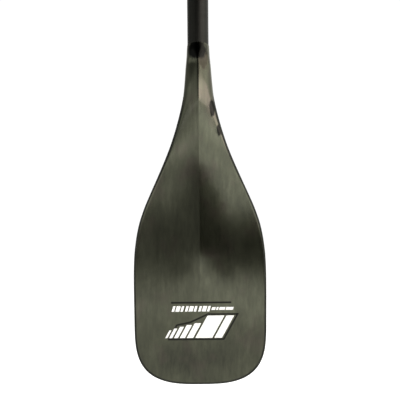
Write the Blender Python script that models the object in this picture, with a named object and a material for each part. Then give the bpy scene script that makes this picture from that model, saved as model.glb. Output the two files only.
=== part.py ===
# Single-blade paddle with an adjustable handle: laminated carbon blade, tapered
# carbon shaft, split clamp collar with a cam lever, and a telescoping T-grip handle.
#
# Frame: metres, +Z up along the shaft's axis, blade down. The origin is on the
# shaft's axis at the top of the blade's neck. -Y is the power face, X runs across
# the blade. All driving dimensions below are in millimetres.

import math

import bmesh
import bpy
from mathutils import Matrix, Vector

MM = 0.001

# ---- blade ------------------------------------------------------------------
BLADE_LENGTH = 417.9          # neck edge to tip, measured down the shaft's axis
BLADE_HALF_WIDTH = 82.0
TIP_START = 340.0             # below this the outline is a superellipse
TIP_POWER_U, TIP_POWER_X = 3.25, 3.0
# distance below the neck edge, half width
OUTLINE = [(-10, 13.35), (0, 13.4), (4, 13.45), (8, 13.7), (15, 14.05), (20, 14.5), (30, 15.4),
           (40, 16.1), (50, 16.9), (60, 17.9), (70, 19.5), (80, 21.7), (95, 25.6),
           (110, 30.1), (125, 35.3), (140, 41.4), (160, 50.3), (180, 59.5),
           (200, 68.2), (220, 74.8), (240, 78.7), (260, 80.9), (280, 81.7),
           (300, 81.95), (340, 82.0)]
RAKE_DEG = 10.0               # the blade leans back from the shaft's line
RAKE_FROM, RAKE_TO = 45.0, 150.0
# half thickness at the blade's edge, and how far in from the edge it rounds off
EDGE_HALF = [(-10, 13.35), (4, 13.45), (15, 13.7), (30, 11.0), (45, 8.6), (60, 7.0), (80, 5.4),
             (100, 4.2), (130, 3.0), (170, 2.1), (220, 1.75), (300, 1.6), (418, 1.5)]
EDGE_ROUND = [(-10, 13.35), (4, 13.45), (15, 14.0), (30, 11.5), (60, 8.5), (100, 6.0), (160, 4.5),
              (250, 4.0), (418, 4.0)]
# centre height of the power face's dihedral ridge, and the ridge's half base
FRONT_TOP = [(-10, 13.35), (4, 13.45), (15, 14.2), (30, 14.6), (62, 14.2), (100, 11.2), (140, 8.3),
             (180, 5.95), (205, 5.0), (230, 4.45), (252, 4.1), (278, 3.1), (304, 2.15), (330, 1.95), (370, 1.9), (418, 1.8)]
FRONT_BASE = [(-10, 13.35), (4, 13.45), (30, 15.4), (60, 17.9), (80, 21.7), (110, 30.0), (140, 38.0),
              (180, 42.0), (225, 40.0), (260, 38.0), (300, 60.0), (418, 75.0)]
FRONT_POWER = [(-10, 1.1), (60, 1.15), (110, 1.4), (160, 1.8), (220, 2.0), (418, 2.0)]
# the same for the rounded spine on the back face
BACK_TOP = [(-10, 13.35), (4, 13.45), (15, 14.2), (30, 15.0), (60, 15.2), (100, 13.5), (140, 10.5),
            (180, 7.5), (220, 5.0), (260, 3.2), (300, 2.4), (418, 1.9)]
BACK_BASE = [(-10, 13.35), (4, 13.45), (30, 15.4), (60, 17.9), (100, 24.0), (140, 26.0), (200, 28.0),
             (260, 34.0), (300, 60.0), (418, 70.0)]
SKIN = 0.8                    # laminate thickness
GAP = 0.3                     # kept between touching pieces
RIM_FROM = 75.0               # the edge rim starts this far below the neck
RIM_WIDTH = 2.4
FLANGE = 7.0                  # the two skins are bonded together over this width
POCKET_FROM = 66.0            # the foam core starts here

# ---- shaft ------------------------------------------------------------------
SHAFT_R_NECK, SHAFT_R_TOP = 12.8, 14.5
SHAFT_BORE_TOP = 13.1
TENON_R, TENON_END = 12.2, -62.0
SHAFT_TOP = 1150.0
SHAFT_WALL = 1.3
SEGMENTS = 32

# ---- clamp ------------------------------------------------------------------
COLLAR_LOW, COLLAR_HIGH = 1116.0, 1156.0
COLLAR_R = 18.2
SCREW_X, SCREW_Z = 23.5, 1136.0
EAR_Y = 9.0
PIVOT_Y = -19.0

# ---- handle -----------------------------------------------------------------
TUBE_R, TUBE_BORE = 12.5, 11.2
TUBE_LOW, TUBE_HIGH = 640.0, 1212.0
STEM_LOW = 1172.0
GRIP_Z = 1250.0
GRIP_HALF = 49.0
GRIP_RY, GRIP_RZ = 14.5, 13.0
GRIP_DROOP = 6.0
GRIP_WALL = 2.6


# ---- curves -----------------------------------------------------------------
def smooth(table, u):
    """Monotone cubic through the (position, value) pairs of a table."""
    if u <= table[0][0]:
        return table[0][1]
    if u >= table[-1][0]:
        return table[-1][1]
    n = len(table)
    slope = [(table[i + 1][1] - table[i][1]) / (table[i + 1][0] - table[i][0]) for i in range(n - 1)]

    def tangent(i):
        if i == 0:
            return slope[0]
        if i == n - 1:
            return slope[-1]
        a, b = slope[i - 1], slope[i]
        return 0.0 if a * b <= 0 else 2 * a * b / (a + b)

    i = max(k for k in range(n - 1) if table[k][0] <= u)
    h = table[i + 1][0] - table[i][0]
    t = (u - table[i][0]) / h
    m0, m1 = tangent(i) * h, tangent(i + 1) * h
    return ((2 * t**3 - 3 * t**2 + 1) * table[i][1] + (t**3 - 2 * t**2 + t) * m0
            + (-2 * t**3 + 3 * t**2) * table[i + 1][1] + (t**3 - t**2) * m1)


def rake(u):
    """How far the blade's middle plane stands behind the shaft's axis."""
    a = math.tan(math.radians(RAKE_DEG))
    if u <= RAKE_FROM:
        return 0.0
    if u >= RAKE_TO:
        return a * ((RAKE_TO - RAKE_FROM) / 2 + (u - RAKE_TO))
    return a * (u - RAKE_FROM) ** 2 / 2 / (RAKE_TO - RAKE_FROM)


def edge_distance(x, u):
    """Distance in from the blade's outline, near enough close to the edge."""
    x = abs(x)
    if u <= TIP_START - 20:
        return smooth(OUTLINE, u) - x
    w = smooth(OUTLINE, min(u, TIP_START))
    tau = max(u - TIP_START, 0.0) / (BLADE_LENGTH - TIP_START)
    h = x / w
    f = h**TIP_POWER_X + tau**TIP_POWER_U
    fx = TIP_POWER_X / w * h ** (TIP_POWER_X - 1)
    fu = TIP_POWER_U / (BLADE_LENGTH - TIP_START) * tau ** (TIP_POWER_U - 1)
    return (1 - f) / max(math.hypot(fx, fu), 1e-4)


def face_height(x, u, top, base, sharp):
    d = max(edge_distance(x, u), 0.0)
    e, r = smooth(EDGE_HALF, u), smooth(EDGE_ROUND, u)
    side = math.sqrt(max(1 - (1 - d / r) ** 2, 0.0)) if d < r else 1.0
    ridge = max(smooth(top, u) - e, 0.0)
    xi = min(abs(x) / smooth(base, u), 1.0)
    shape = (1 - xi) ** smooth(FRONT_POWER, u) if sharp else math.cos(math.pi * xi / 2) ** 2
    return e * side + ridge * shape * min(1.0, d / 14.0 if u > 300 else 1.0)


def front(x, u):
    """Height of the power face above the blade's middle plane, towards -Y."""
    return face_height(x, u, FRONT_TOP, FRONT_BASE, True)


def back(x, u):
    return face_height(x, u, BACK_TOP, BACK_BASE, False)


def inset_outline(inset, steps_side, phis):
    """Points (x, u) of the right side of the outline drawn in by inset, from the rim's start to near the tip."""
    points = [(smooth(OUTLINE, u) - inset, u) for u in steps_side]
    rx, ru = BLADE_HALF_WIDTH - inset, BLADE_LENGTH - TIP_START - inset
    for phi in phis:
        p = math.radians(phi)
        points.append((rx * math.cos(p) ** (2 / TIP_POWER_X), TIP_START + ru * math.sin(p) ** (2 / TIP_POWER_U)))
    return points


SIDE_STEPS = [76, 90, 105, 120, 140, 160, 180, 200, 220, 240, 260, 285, 312, 339]
PHIS = [14, 28, 40, 51, 61, 70, 78, 84.5]
POCKET_LAST = -6              # the core's pocket ends at this row of the tip
COLUMNS = 12                  # across the pocket, the same in the skins and the core


# ---- building ---------------------------------------------------------------
def clear_scene():
    for o in list(bpy.data.objects):
        bpy.data.objects.remove(o, do_unlink=True)


def material(name, colour, roughness, metallic):
    m = bpy.data.materials.new(name)
    m.use_nodes = True
    shader = m.node_tree.nodes["Principled BSDF"]
    shader.inputs["Base Color"].default_value = (*colour, 1.0)
    shader.inputs["Roughness"].default_value = roughness
    shader.inputs["Metallic"].default_value = metallic
    return m


def add(name, bm, mat, smooth_angle=35.0):
    bmesh.ops.recalc_face_normals(bm, faces=bm.faces)
    mesh = bpy.data.meshes.new(name)
    bm.to_mesh(mesh)
    bm.free()
    mesh.shade_smooth()
    mesh.set_sharp_from_angle(angle=math.radians(smooth_angle))
    o = bpy.data.objects.new(name, mesh)
    bpy.context.scene.collection.objects.link(o)
    if mat:
        o.data.materials.append(mat)
    return o


def mm(x, y, z):
    return Vector((x * MM, y * MM, z * MM))


def grid_solid(name, outer, inner, mat):
    """A closed shell from two point grids of the same size, joined round their edges."""
    bm = bmesh.new()
    rows, cols = len(outer), len(outer[0])
    a = [[bm.verts.new(p) for p in row] for row in outer]
    b = [[bm.verts.new(p) for p in row] for row in inner]
    for i in range(rows - 1):
        for j in range(cols - 1):
            bm.faces.new((a[i][j], a[i][j + 1], a[i + 1][j + 1], a[i + 1][j]))
            bm.faces.new((b[i][j], b[i + 1][j], b[i + 1][j + 1], b[i][j + 1]))
    for i in range(rows - 1):
        for j in (0, cols - 1):
            bm.faces.new((a[i][j], a[i + 1][j], b[i + 1][j], b[i][j]))
    for j in range(cols - 1):
        for i in (0, rows - 1):
            bm.faces.new((a[i][j], b[i][j], b[i][j + 1], a[i][j + 1]))
    return add(name, bm, mat)


def turned(name, profile, mat, segments=SEGMENTS, axis="Z", centre=(0, 0, 0), phase=0.0):
    """A closed (radius, height) outline turned about an axis. A radius of 0 is a point on the axis."""
    bm = bmesh.new()
    turn = {"Z": Matrix.Identity(3), "Y": Matrix(((1, 0, 0), (0, 0, 1), (0, -1, 0)))}[axis]
    rings = []
    for r, h in profile:
        if r <= 0:
            rings.append([bm.verts.new(mm(*(turn @ Vector((0, 0, h)) + Vector(centre))))])
            continue
        ring = []
        for k in range(segments):
            t = 2 * math.pi * (k + phase) / segments
            ring.append(bm.verts.new(mm(*(turn @ Vector((r * math.cos(t), r * math.sin(t), h)) + Vector(centre)))))
        rings.append(ring)
    for one, two in zip(rings, rings[1:] + rings[:1]):
        if len(one) == 1 and len(two) == 1:
            continue
        for k in range(segments):
            n = (k + 1) % segments
            if len(one) == 1:
                bm.faces.new((one[0], two[k], two[n]))
            elif len(two) == 1:
                bm.faces.new((one[k], one[n], two[0]))
            else:
                bm.faces.new((one[k], one[n], two[n], two[k]))
    return add(name, bm, mat)


def box(name, low, high, mat=None):
    bm = bmesh.new()
    bmesh.ops.create_cube(bm, size=1.0)
    for v in bm.verts:
        v.co = mm(*[low[k] if v.co[k] < 0 else high[k] for k in range(3)])
    return add(name, bm, mat)


def prism(name, outline, z0, z1, mat=None):
    """A flat (x, y) outline extruded from z0 to z1."""
    bm = bmesh.new()
    low = [bm.verts.new(mm(x, y, z0)) for x, y in outline]
    high = [bm.verts.new(mm(x, y, z1)) for x, y in outline]
    n = len(outline)
    bm.faces.new(low[::-1])
    bm.faces.new(high)
    for k in range(n):
        bm.faces.new((low[k], low[(k + 1) % n], high[(k + 1) % n], high[k]))
    return add(name, bm, mat)


def combine(target, tool, operation):
    """Applies a Boolean and removes the tool."""
    m = target.modifiers.new("combine", "BOOLEAN")
    m.operation, m.solver, m.object = operation, "EXACT", tool
    bpy.context.view_layer.update()
    graph = bpy.context.evaluated_depsgraph_get()
    made = bpy.data.meshes.new_from_object(target.evaluated_get(graph))
    target.modifiers.remove(m)
    target.data = made
    bpy.data.objects.remove(tool, do_unlink=True)
    bm = bmesh.new()
    bm.from_mesh(made)
    bmesh.ops.remove_doubles(bm, verts=bm.verts, dist=2e-6)
    bmesh.ops.dissolve_degenerate(bm, edges=bm.edges, dist=2e-6)
    bm.to_mesh(made)
    bm.free()
    made.shade_smooth()
    made.set_sharp_from_angle(angle=math.radians(35))
    return target


def rod(radius, low, high, axis, centre, segments=24, phase=0.0):
    return turned("tool", [(0, low), (radius, low), (radius, high), (0, high)], None, segments, axis, centre, phase)


# ---- blade pieces -----------------------------------------------------------
def skin_half(u):
    """Half width of the skins, which stop short of the rim."""
    if u < RIM_FROM:
        return smooth(OUTLINE, u)
    if u <= TIP_START:
        return smooth(OUTLINE, u) - RIM_WIDTH - GAP
    inset = RIM_WIDTH + GAP
    rx, ru = BLADE_HALF_WIDTH - inset, BLADE_LENGTH - TIP_START - inset
    return rx * max(1 - ((u - TIP_START) / ru) ** TIP_POWER_U, 0.0) ** (1 / TIP_POWER_X)


def skin_rows():
    inset = RIM_WIDTH + GAP
    rows = [10.0, 16.0, 26.0, 40.0, 52.0, POCKET_FROM - 0.8, POCKET_FROM, RIM_FROM - GAP, RIM_FROM]
    rows += SIDE_STEPS[1:]
    rows += [u for _, u in inset_outline(inset, [], PHIS)]
    return rows


def pocket_half(u):
    return max(TENON_R + GAP, skin_half(u) - FLANGE)


def columns(a, u, count):
    """Positions across the pocket: crowded to the sides in the round neck, even below it."""
    s = min(max((u - 60.0) / 50.0, 0.0), 1.0)
    ts = [2 * k / count - 1 for k in range(count + 1)]
    return [a * ((1 - s) * math.sin(math.pi / 2 * t) + s * t) for t in ts]


def build_skin(name, height, side, mat):
    """One face of the blade, with its half of the neck socket and of the core's pocket on the inside."""
    inner_cols = COLUMNS
    half_gap = GAP / 2
    outer, inner = [], []
    pocket_end = skin_rows()[POCKET_LAST]

    def bore(x, r):
        return math.sqrt(max(r * r - x * x, half_gap**2))

    def row(u_at, hollow, w, a):
        xs = columns(a, u_at(0.0), inner_cols)
        steps = [a + 0.45, a + (w - a) * 0.62, w]
        xs = [-s for s in reversed(steps)] + xs + steps
        o, i = [], []
        for k, x in enumerate(xs):
            u = u_at(x)
            y = max(height(x, u), half_gap + 0.3)
            deep = hollow(x, u) if 3 <= k <= 3 + inner_cols else half_gap
            if u < POCKET_FROM - 0.1 and deep > half_gap:
                deep -= side * rake(u)      # the socket stays in line with the shaft
            o.append(mm(x, rake(u) + side * y, -u))
            i.append(mm(x, rake(u) + side * max(min(deep, y - 0.25), half_gap), -u))
        outer.append(o)
        inner.append(i)

    wide = SHAFT_R_NECK + GAP
    top_half = 14.2

    def arch(x):
        return 3.4 - 3.0 * math.sqrt(max(1 - (x / (wide + 0.3)) ** 2, 0.0))

    def neck_height(x):
        return math.sqrt(max(13.55**2 - x * x, 0.0))

    # The neck's top edge is an arch that stands higher on the face than at the sides.
    def neck_row(u_at, r_in, r_out):
        xs = [r_in * math.sin(math.pi / 2 * (2 * k / inner_cols - 1)) for k in range(inner_cols + 1)]
        steps = [r_in + (r_out - r_in) * t for t in (0.4, 0.75, 1.0)]
        xs = [-s for s in reversed(steps)] + xs + steps
        o, i = [], []
        for k, x in enumerate(xs):
            u = u_at(x)
            y = max(math.sqrt(max(r_out**2 - x * x, 0.0)), half_gap + 0.3)
            deep = bore(x, r_in) if 3 <= k <= 3 + inner_cols else half_gap
            o.append(mm(x, rake(u) + side * y, -u))
            i.append(mm(x, rake(u) + side * max(min(deep, y - 0.25), half_gap), -u))
        outer.append(o)
        inner.append(i)

    neck_row(arch, wide, 13.45)
    neck_row(lambda x: 4.9, wide, 13.55)
    neck_row(lambda x: 5.6, TENON_R + GAP, 13.6)
    for u0 in skin_rows():
        w, a = skin_half(u0), pocket_half(u0)
        if u0 < POCKET_FROM - 0.1:
            row(lambda x: u0, lambda x, u: bore(x, TENON_R + GAP), w, a)
        elif u0 <= pocket_end:
            row(lambda x: u0, lambda x, u: height(x, u) - SKIN, w, a)
        else:
            row(lambda x: u0, lambda x, u: half_gap, w, min(a, w * 0.8))
    return grid_solid(name, outer, inner, mat)


def build_core(mat):
    """The foam between the skins, clear of the pocket's walls by the glue line."""
    rows = [u for u in skin_rows() if POCKET_FROM - 0.1 <= u <= skin_rows()[POCKET_LAST]]
    rows[0] += GAP
    rows[-1] -= 0.4
    one, two = [], []
    for u in rows:
        a = pocket_half(u) - 0.6
        xs = columns(a, u, COLUMNS)
        one.append([mm(x, rake(u) - max(front(x, u) - SKIN - GAP - 0.1, 0.05), -u) for x in xs])
        two.append([mm(x, rake(u) + max(back(x, u) - SKIN - GAP - 0.1, 0.05), -u) for x in xs])
    return grid_solid("foam_core", one, two, mat)


def build_rim(mat):
    """The tough edge band, swept round the outline from one side of the neck to the other."""
    outer_line = inset_outline(0.0, SIDE_STEPS, PHIS)
    inner_line = inset_outline(RIM_WIDTH, SIDE_STEPS, PHIS)
    pairs = list(zip(outer_line, inner_line))
    pairs += [((-o[0], o[1]), (-i[0], i[1])) for o, i in reversed(pairs)]
    bm = bmesh.new()
    rings = []
    for (ox, ou), (ix, iu) in pairs:
        ring = []
        for t, side in ((0.0, -1), (0.5, -1), (0.86, -1), (1.0, 0), (0.86, 1), (0.5, 1), (0.0, 1)):
            x, u = ix + (ox - ix) * t, iu + (ou - iu) * t
            h = front(x, u) if side < 0 else back(x, u)
            ring.append(bm.verts.new(mm(x, rake(u) + side * max(h, 0.35), -u)))
        rings.append(ring)
    n = len(rings[0])
    for one, two in zip(rings, rings[1:]):
        for k in range(n):
            bm.faces.new((one[k], one[(k + 1) % n], two[(k + 1) % n], two[k]))
    bm.faces.new(rings[0])
    bm.faces.new(rings[-1][::-1])
    bmesh.ops.triangulate(bm, faces=[f for f in bm.faces if len(f.verts) > 4])
    return add("edge_rim", bm, mat)


def build_sticker(mat):
    """The clear film label on the power face."""
    outer, inner = [], []
    rows, cols = 6, 8
    for i in range(rows + 1):
        u = 317.0 + 46.0 * i / rows
        outer.append([])
        inner.append([])
        for j in range(cols + 1):
            x = 2.0 + 47.0 * (2 * j / cols - 1)
            outer[-1].append(mm(x, rake(u) - front(x, u) - GAP - 0.25, -u))
            inner[-1].append(mm(x, rake(u) - front(x, u) - GAP, -u))
    return grid_solid("blade_sticker", outer, inner, mat)


# ---- shaft pieces -----------------------------------------------------------
def build_shaft(mat):
    taper = [(0, SHAFT_R_NECK), (60, 12.95), (180, 13.5), (330, 14.15), (460, SHAFT_R_TOP)]
    outside = [(TENON_R, TENON_END), (TENON_R, -4.6), (SHAFT_R_NECK, -4.0)]
    outside += [(r, z + 20) for z, r in taper] + [(SHAFT_R_TOP, SHAFT_TOP)]
    inside = [(SHAFT_BORE_TOP, SHAFT_TOP), (SHAFT_BORE_TOP, 500)]
    inside += [(r - SHAFT_WALL, z + 20) for z, r in reversed(taper[:-1])] + [(TENON_R - SHAFT_WALL, -4.0), (TENON_R - SHAFT_WALL, TENON_END)]
    tube = turned("shaft_tube", outside + inside, mat)
    for low, high in (((-20, -0.9, SHAFT_TOP - 36), (20, 0.9, SHAFT_TOP + 2)), ((-0.9, -20, SHAFT_TOP - 36), (0.9, 20, SHAFT_TOP + 2))):
        combine(tube, box("slot", low, high), "DIFFERENCE")
    return tube


# ---- clamp pieces -----------------------------------------------------------
def build_collar(mat):
    collar = rod(COLLAR_R, COLLAR_LOW, COLLAR_HIGH, "Z", (0, 0, 0), 40)
    collar.name = "clamp_collar"
    collar.data.materials.append(mat)
    combine(collar, box("ear", (8, -EAR_Y, 1122), (30, EAR_Y, 1150)), "UNION")
    combine(collar, box("pad", (-21.5, -8, 1120), (-8, 8, 1152)), "UNION")
    bore = turned("bore", [(0, 1110), (SHAFT_R_TOP + GAP, 1110), (SHAFT_R_TOP + GAP, SHAFT_TOP + GAP), (13.5, SHAFT_TOP + GAP), (13.5, 1160), (0, 1160)], None, 40)
    combine(collar, bore, "DIFFERENCE")
    combine(collar, box("slit", (10, -1.6, 1110), (35, 1.6, 1162)), "DIFFERENCE")
    combine(collar, rod(2.9, -12, 12, "Y", (SCREW_X, 0, SCREW_Z), 20), "DIFFERENCE")
    return collar


def build_lever(mat):
    """Two cam cheeks on the barrel, and an arm that wraps round the collar."""
    cx = SCREW_X + 1.0 * math.cos(math.radians(110))
    cy = PIVOT_Y + 1.0 * math.sin(math.radians(110))
    cam = rod(7.25, 1124, 1148, "Z", (cx, cy, 0), 32)
    cam.name = "cam_lever"
    cam.data.materials.append(mat)
    inner_r, outer_r = 19.6, 23.4
    angles = [-66 - 6.5 * k for k in range(13)]
    outline = [(SCREW_X - 1, PIVOT_Y - 6.6)]
    outline += [(outer_r * math.cos(math.radians(a)), outer_r * math.sin(math.radians(a))) for a in [-74] + angles[1:]]
    end = math.radians(angles[-1] - 5)
    outline += [(26.5 * math.cos(end), 26.5 * math.sin(end)), (24.5 * math.cos(end - 0.10), 24.5 * math.sin(end - 0.10)), (21.5 * math.cos(end - 0.06), 21.5 * math.sin(end - 0.06))]
    outline += [(inner_r * math.cos(math.radians(a)), inner_r * math.sin(math.radians(a))) for a in reversed(angles)]
    outline += [(15.5, -15.2), (SCREW_X - 3, PIVOT_Y + 5.5)]
    combine(cam, prism("arm", outline, 1127, 1145), "UNION")
    combine(cam, box("slot", (13.2, -32, SCREW_Z - 4.2), (36, -8, SCREW_Z + 4.2)), "DIFFERENCE")
    combine(cam, rod(4.8, 1120, 1152, "Z", (SCREW_X, PIVOT_Y, 0), 28), "DIFFERENCE")
    return cam


def build_screw(mat):
    """M5 socket head cap screw, head towards +Y."""
    profile = [(0, -24.5), (2.1, -24.5), (2.5, -24.0), (2.5, 10.6), (4.25, 10.6), (4.25, 15.1), (3.8, 15.6), (0, 15.6)]
    screw = turned("tension_screw", profile, mat, 24, "Y", (SCREW_X, 0, SCREW_Z))
    combine(screw, rod(2.3, 13.0, 17.0, "Y", (SCREW_X, 0, SCREW_Z), 6), "DIFFERENCE")
    return screw


# ---- handle pieces ----------------------------------------------------------
def grip_bar(name, shrink, mat=None, segments=20):
    """The T's cross bar: ovals along X whose size closes at both ends and whose centre droops outwards."""
    bm = bmesh.new()
    half = GRIP_HALF - shrink
    rings = []
    steps = 14
    for i in range(1, steps):
        x = half * math.sin(math.pi / 2 * (2 * i / steps - 1))
        k = (1 - abs(x / half) ** 4.0) ** 0.5
        zc = GRIP_Z - GRIP_DROOP * (x / GRIP_HALF) ** 2
        ring = []
        for s in range(segments):
            t = 2 * math.pi * s / segments
            y = (GRIP_RY - shrink) * k * math.cos(t)
            z = (GRIP_RZ - shrink) * k * math.sin(t)
            ring.append(bm.verts.new(mm(x, y, zc + z)))
        rings.append(ring)
    for one, two in zip(rings, rings[1:]):
        for s in range(segments):
            n = (s + 1) % segments
            bm.faces.new((one[s], one[n], two[n], two[s]))
    for ring, x in ((rings[0], -half), (rings[-1], half)):
        tip = bm.verts.new(mm(x, 0, GRIP_Z - GRIP_DROOP * (x / GRIP_HALF) ** 2))
        for s in range(segments):
            bm.faces.new((ring[s], ring[(s + 1) % segments], tip))
    return add(name, bm, mat)


def grip_stem():
    """From a round socket over the tube to an oval that runs into the bar."""
    sections = [(STEM_LOW, 15.4, 15.4), (STEM_LOW + 2, 15.9, 15.9), (1190, 15.2, 15.2), (1206, 15.4, 14.6), (1220, 18.5, 13.6), (1232, 24.5, 12.8), (1243, 31.0, 12.2)]
    bm = bmesh.new()
    rings = []
    for z, rx, ry in sections:
        rings.append([bm.verts.new(mm(rx * math.cos(2 * math.pi * s / 24), ry * math.sin(2 * math.pi * s / 24), z)) for s in range(24)])
    for one, two in zip(rings, rings[1:]):
        for s in range(24):
            n = (s + 1) % 24
            bm.faces.new((one[s], one[n], two[n], two[s]))
    bm.faces.new(rings[0][::-1])
    bm.faces.new(rings[-1])
    return add("stem", bm, None)


def build_grip_half(name, side, mat):
    shell = grip_bar(name, 0.0, mat)
    combine(shell, grip_stem(), "UNION")
    combine(shell, rod(TUBE_R + GAP + 0.1, STEM_LOW - 5, TUBE_HIGH + GAP, "Z", (0, 0, 0), SEGMENTS), "DIFFERENCE")
    combine(shell, grip_bar("hollow", GRIP_WALL), "DIFFERENCE")
    low = (-60, -30, 1150) if side > 0 else (-60, -GAP / 2, 1150)
    high = (60, GAP / 2, 1300) if side > 0 else (60, 30, 1300)
    combine(shell, box("half", low, high), "DIFFERENCE")
    return shell


def build_scale(mat):
    """The printed length scale, wrapped over three facets of the tube's front."""
    outer, inner = [], []
    for z in (735, 840, 950, 1060, 1166):
        outer.append([])
        inner.append([])
        for k in range(22, 27):
            t = 2 * math.pi * k / SEGMENTS
            outer[-1].append(mm((TUBE_R + 0.3) * math.cos(t), (TUBE_R + 0.3) * math.sin(t), z))
            inner[-1].append(mm((TUBE_R + 0.15) * math.cos(t), (TUBE_R + 0.15) * math.sin(t), z))
    return grid_solid("length_scale", outer, inner, mat)


def build():
    clear_scene()
    carbon = material("blade_carbon", (0.062, 0.064, 0.048), 0.22, 0.0)
    shaft = material("shaft_carbon", (0.03, 0.03, 0.028), 0.35, 0.0)
    edge = material("edge_resin", (0.02, 0.02, 0.018), 0.4, 0.0)
    foam = material("foam", (0.82, 0.74, 0.55), 0.9, 0.0)
    film = material("clear_film", (0.9, 0.9, 0.88), 0.2, 0.0)
    nylon = material("nylon", (0.022, 0.022, 0.024), 0.5, 0.0)
    rubber = material("rubber", (0.015, 0.015, 0.015), 0.8, 0.0)
    steel = material("steel", (0.6, 0.6, 0.6), 0.3, 1.0)
    brass = material("brass", (0.75, 0.58, 0.3), 0.35, 1.0)
    acetal = material("acetal", (0.85, 0.85, 0.82), 0.4, 0.0)
    scale = material("scale_print", (0.8, 0.8, 0.78), 0.5, 0.0)

    build_skin("power_face_skin", front, -1, carbon)
    build_skin("back_face_skin", back, 1, carbon)
    build_core(foam)
    build_rim(edge)
    build_sticker(film)

    build_shaft(shaft)
    turned("shaft_end_plug", [(0, -61), (10.5, -61), (10.5, -38), (0, -38)], foam)

    build_collar(nylon)
    turned("wiper_ring", [(13.15, COLLAR_HIGH + GAP), (16.4, COLLAR_HIGH + GAP), (15.8, 1159.6), (13.6, 1160.6), (13.15, 1160.2)], rubber, 40)
    pad = box("cam_pad", (16.5, -EAR_Y - 1.5, 1123), (29.5, -EAR_Y - GAP, 1149), acetal)
    combine(pad, rod(2.9, -14, -4, "Y", (SCREW_X, 0, SCREW_Z), 20), "DIFFERENCE")
    turned("screw_washer", [(2.8, EAR_Y + GAP), (5.0, EAR_Y + GAP), (5.0, EAR_Y + 1.3), (2.8, EAR_Y + 1.3)], steel, 24, "Y", (SCREW_X, 0, SCREW_Z))
    build_screw(steel)
    barrel = turned("barrel_nut", [(0, 1124.2), (4.0, 1124.2), (4.5, 1124.7), (4.5, 1147.3), (4.0, 1147.8), (0, 1147.8)], brass, 28, "Z", (SCREW_X, PIVOT_Y, 0))
    combine(barrel, rod(2.8, -26, -12, "Y", (SCREW_X, 0, SCREW_Z), 20), "DIFFERENCE")
    build_lever(nylon)

    turned("handle_tube", [(TUBE_BORE, TUBE_LOW), (TUBE_R, TUBE_LOW), (TUBE_R, TUBE_HIGH), (TUBE_BORE, TUBE_HIGH)], shaft)
    turned("handle_end_cap", [(0, 622), (11.7, 622), (12.5, 623), (12.5, 625.5), (11.0, 625.5), (11.0, 633.5), (12.5, 633.5), (12.5, TUBE_LOW - GAP), (10.8, TUBE_LOW - GAP), (10.8, 655), (0, 655)], nylon)
    turned("guide_ring", [(11.4, 625.9), (12.9, 625.9), (12.9, 633.1), (11.4, 633.1)], acetal)
    build_scale(scale)
    turned("handle_top_plug", [(0, 1190), (10.8, 1190), (10.8, 1211), (0, 1211)], foam)
    build_grip_half("grip_front_shell", -1, nylon)
    build_grip_half("grip_back_shell", 1, nylon)
    grip_bar("grip_core", GRIP_WALL + GAP + 0.1, foam)


build()
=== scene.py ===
# The look of the single-blade paddle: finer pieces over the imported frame, with
# procedural materials, studio light and the camera.
import math

import bmesh
import bpy
from mathutils import Matrix, Vector


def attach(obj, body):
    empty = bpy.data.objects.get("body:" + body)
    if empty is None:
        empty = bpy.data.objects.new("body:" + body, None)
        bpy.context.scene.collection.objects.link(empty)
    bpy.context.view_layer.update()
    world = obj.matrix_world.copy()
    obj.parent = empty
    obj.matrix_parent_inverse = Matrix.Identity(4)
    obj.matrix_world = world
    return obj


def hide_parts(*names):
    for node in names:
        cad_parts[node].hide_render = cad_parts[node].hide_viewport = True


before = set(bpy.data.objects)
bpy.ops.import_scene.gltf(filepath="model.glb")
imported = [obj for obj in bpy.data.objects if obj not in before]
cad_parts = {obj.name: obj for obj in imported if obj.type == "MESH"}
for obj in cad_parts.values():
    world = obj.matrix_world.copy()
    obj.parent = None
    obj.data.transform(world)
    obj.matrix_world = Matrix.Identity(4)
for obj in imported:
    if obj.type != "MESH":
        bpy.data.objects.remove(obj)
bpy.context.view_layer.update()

MM = 0.001

# ---------------------------------------------------------------- camera
PX = 1.1995                      # millimetres a pixel at 1 m
cam_data = bpy.data.cameras.new("photo_camera")
cam = bpy.data.objects.new("photo_camera", cam_data)
bpy.context.scene.collection.objects.link(cam)
bpy.context.scene.camera = cam
cam_data.sensor_width = 36.0
cam_data.lens = 36.0 / (400 * PX * MM)
cam_data.clip_start, cam_data.clip_end = 0.05, 50.0
elevation, roll = math.radians(-2.5), math.radians(0.49)
forward = Vector((0, math.cos(elevation), -math.sin(elevation)))
target = Vector((0.0008, 0, -0.1889))
cam.rotation_mode = "QUATERNION"
cam.location = target - forward * 1.0
cam.rotation_quaternion = forward.to_track_quat("-Z", "Y") @ Matrix.Rotation(-roll, 3, "Z").to_quaternion()

# ---------------------------------------------------------------- the paddle's curves, in millimetres
BLADE_LENGTH = 417.9
BLADE_HALF_WIDTH = 82.0
TIP_START = 340.0
TIP_POWER_U, TIP_POWER_X = 3.25, 3.0
OUTLINE = [(-10, 13.35), (0, 13.4), (4, 13.45), (8, 13.7), (15, 14.05), (20, 14.5), (30, 15.4),
           (40, 16.1), (50, 16.9), (60, 17.9), (70, 19.5), (80, 21.7), (95, 25.6),
           (110, 30.1), (125, 35.3), (140, 41.4), (160, 50.3), (180, 59.5),
           (200, 68.2), (220, 74.8), (240, 78.7), (260, 80.9), (280, 81.7),
           (300, 81.95), (340, 82.0)]
RAKE_DEG = 10.0
RAKE_FROM, RAKE_TO = 45.0, 150.0
EDGE_HALF = [(-10, 13.35), (4, 13.45), (15, 13.7), (30, 11.0), (45, 8.6), (60, 7.0), (80, 5.4),
             (100, 4.2), (130, 3.0), (170, 2.1), (220, 1.75), (300, 1.6), (418, 1.5)]
EDGE_ROUND = [(-10, 13.35), (4, 13.45), (15, 14.0), (30, 11.5), (60, 8.5), (100, 6.0), (160, 4.5),
              (250, 4.0), (418, 4.0)]
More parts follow.
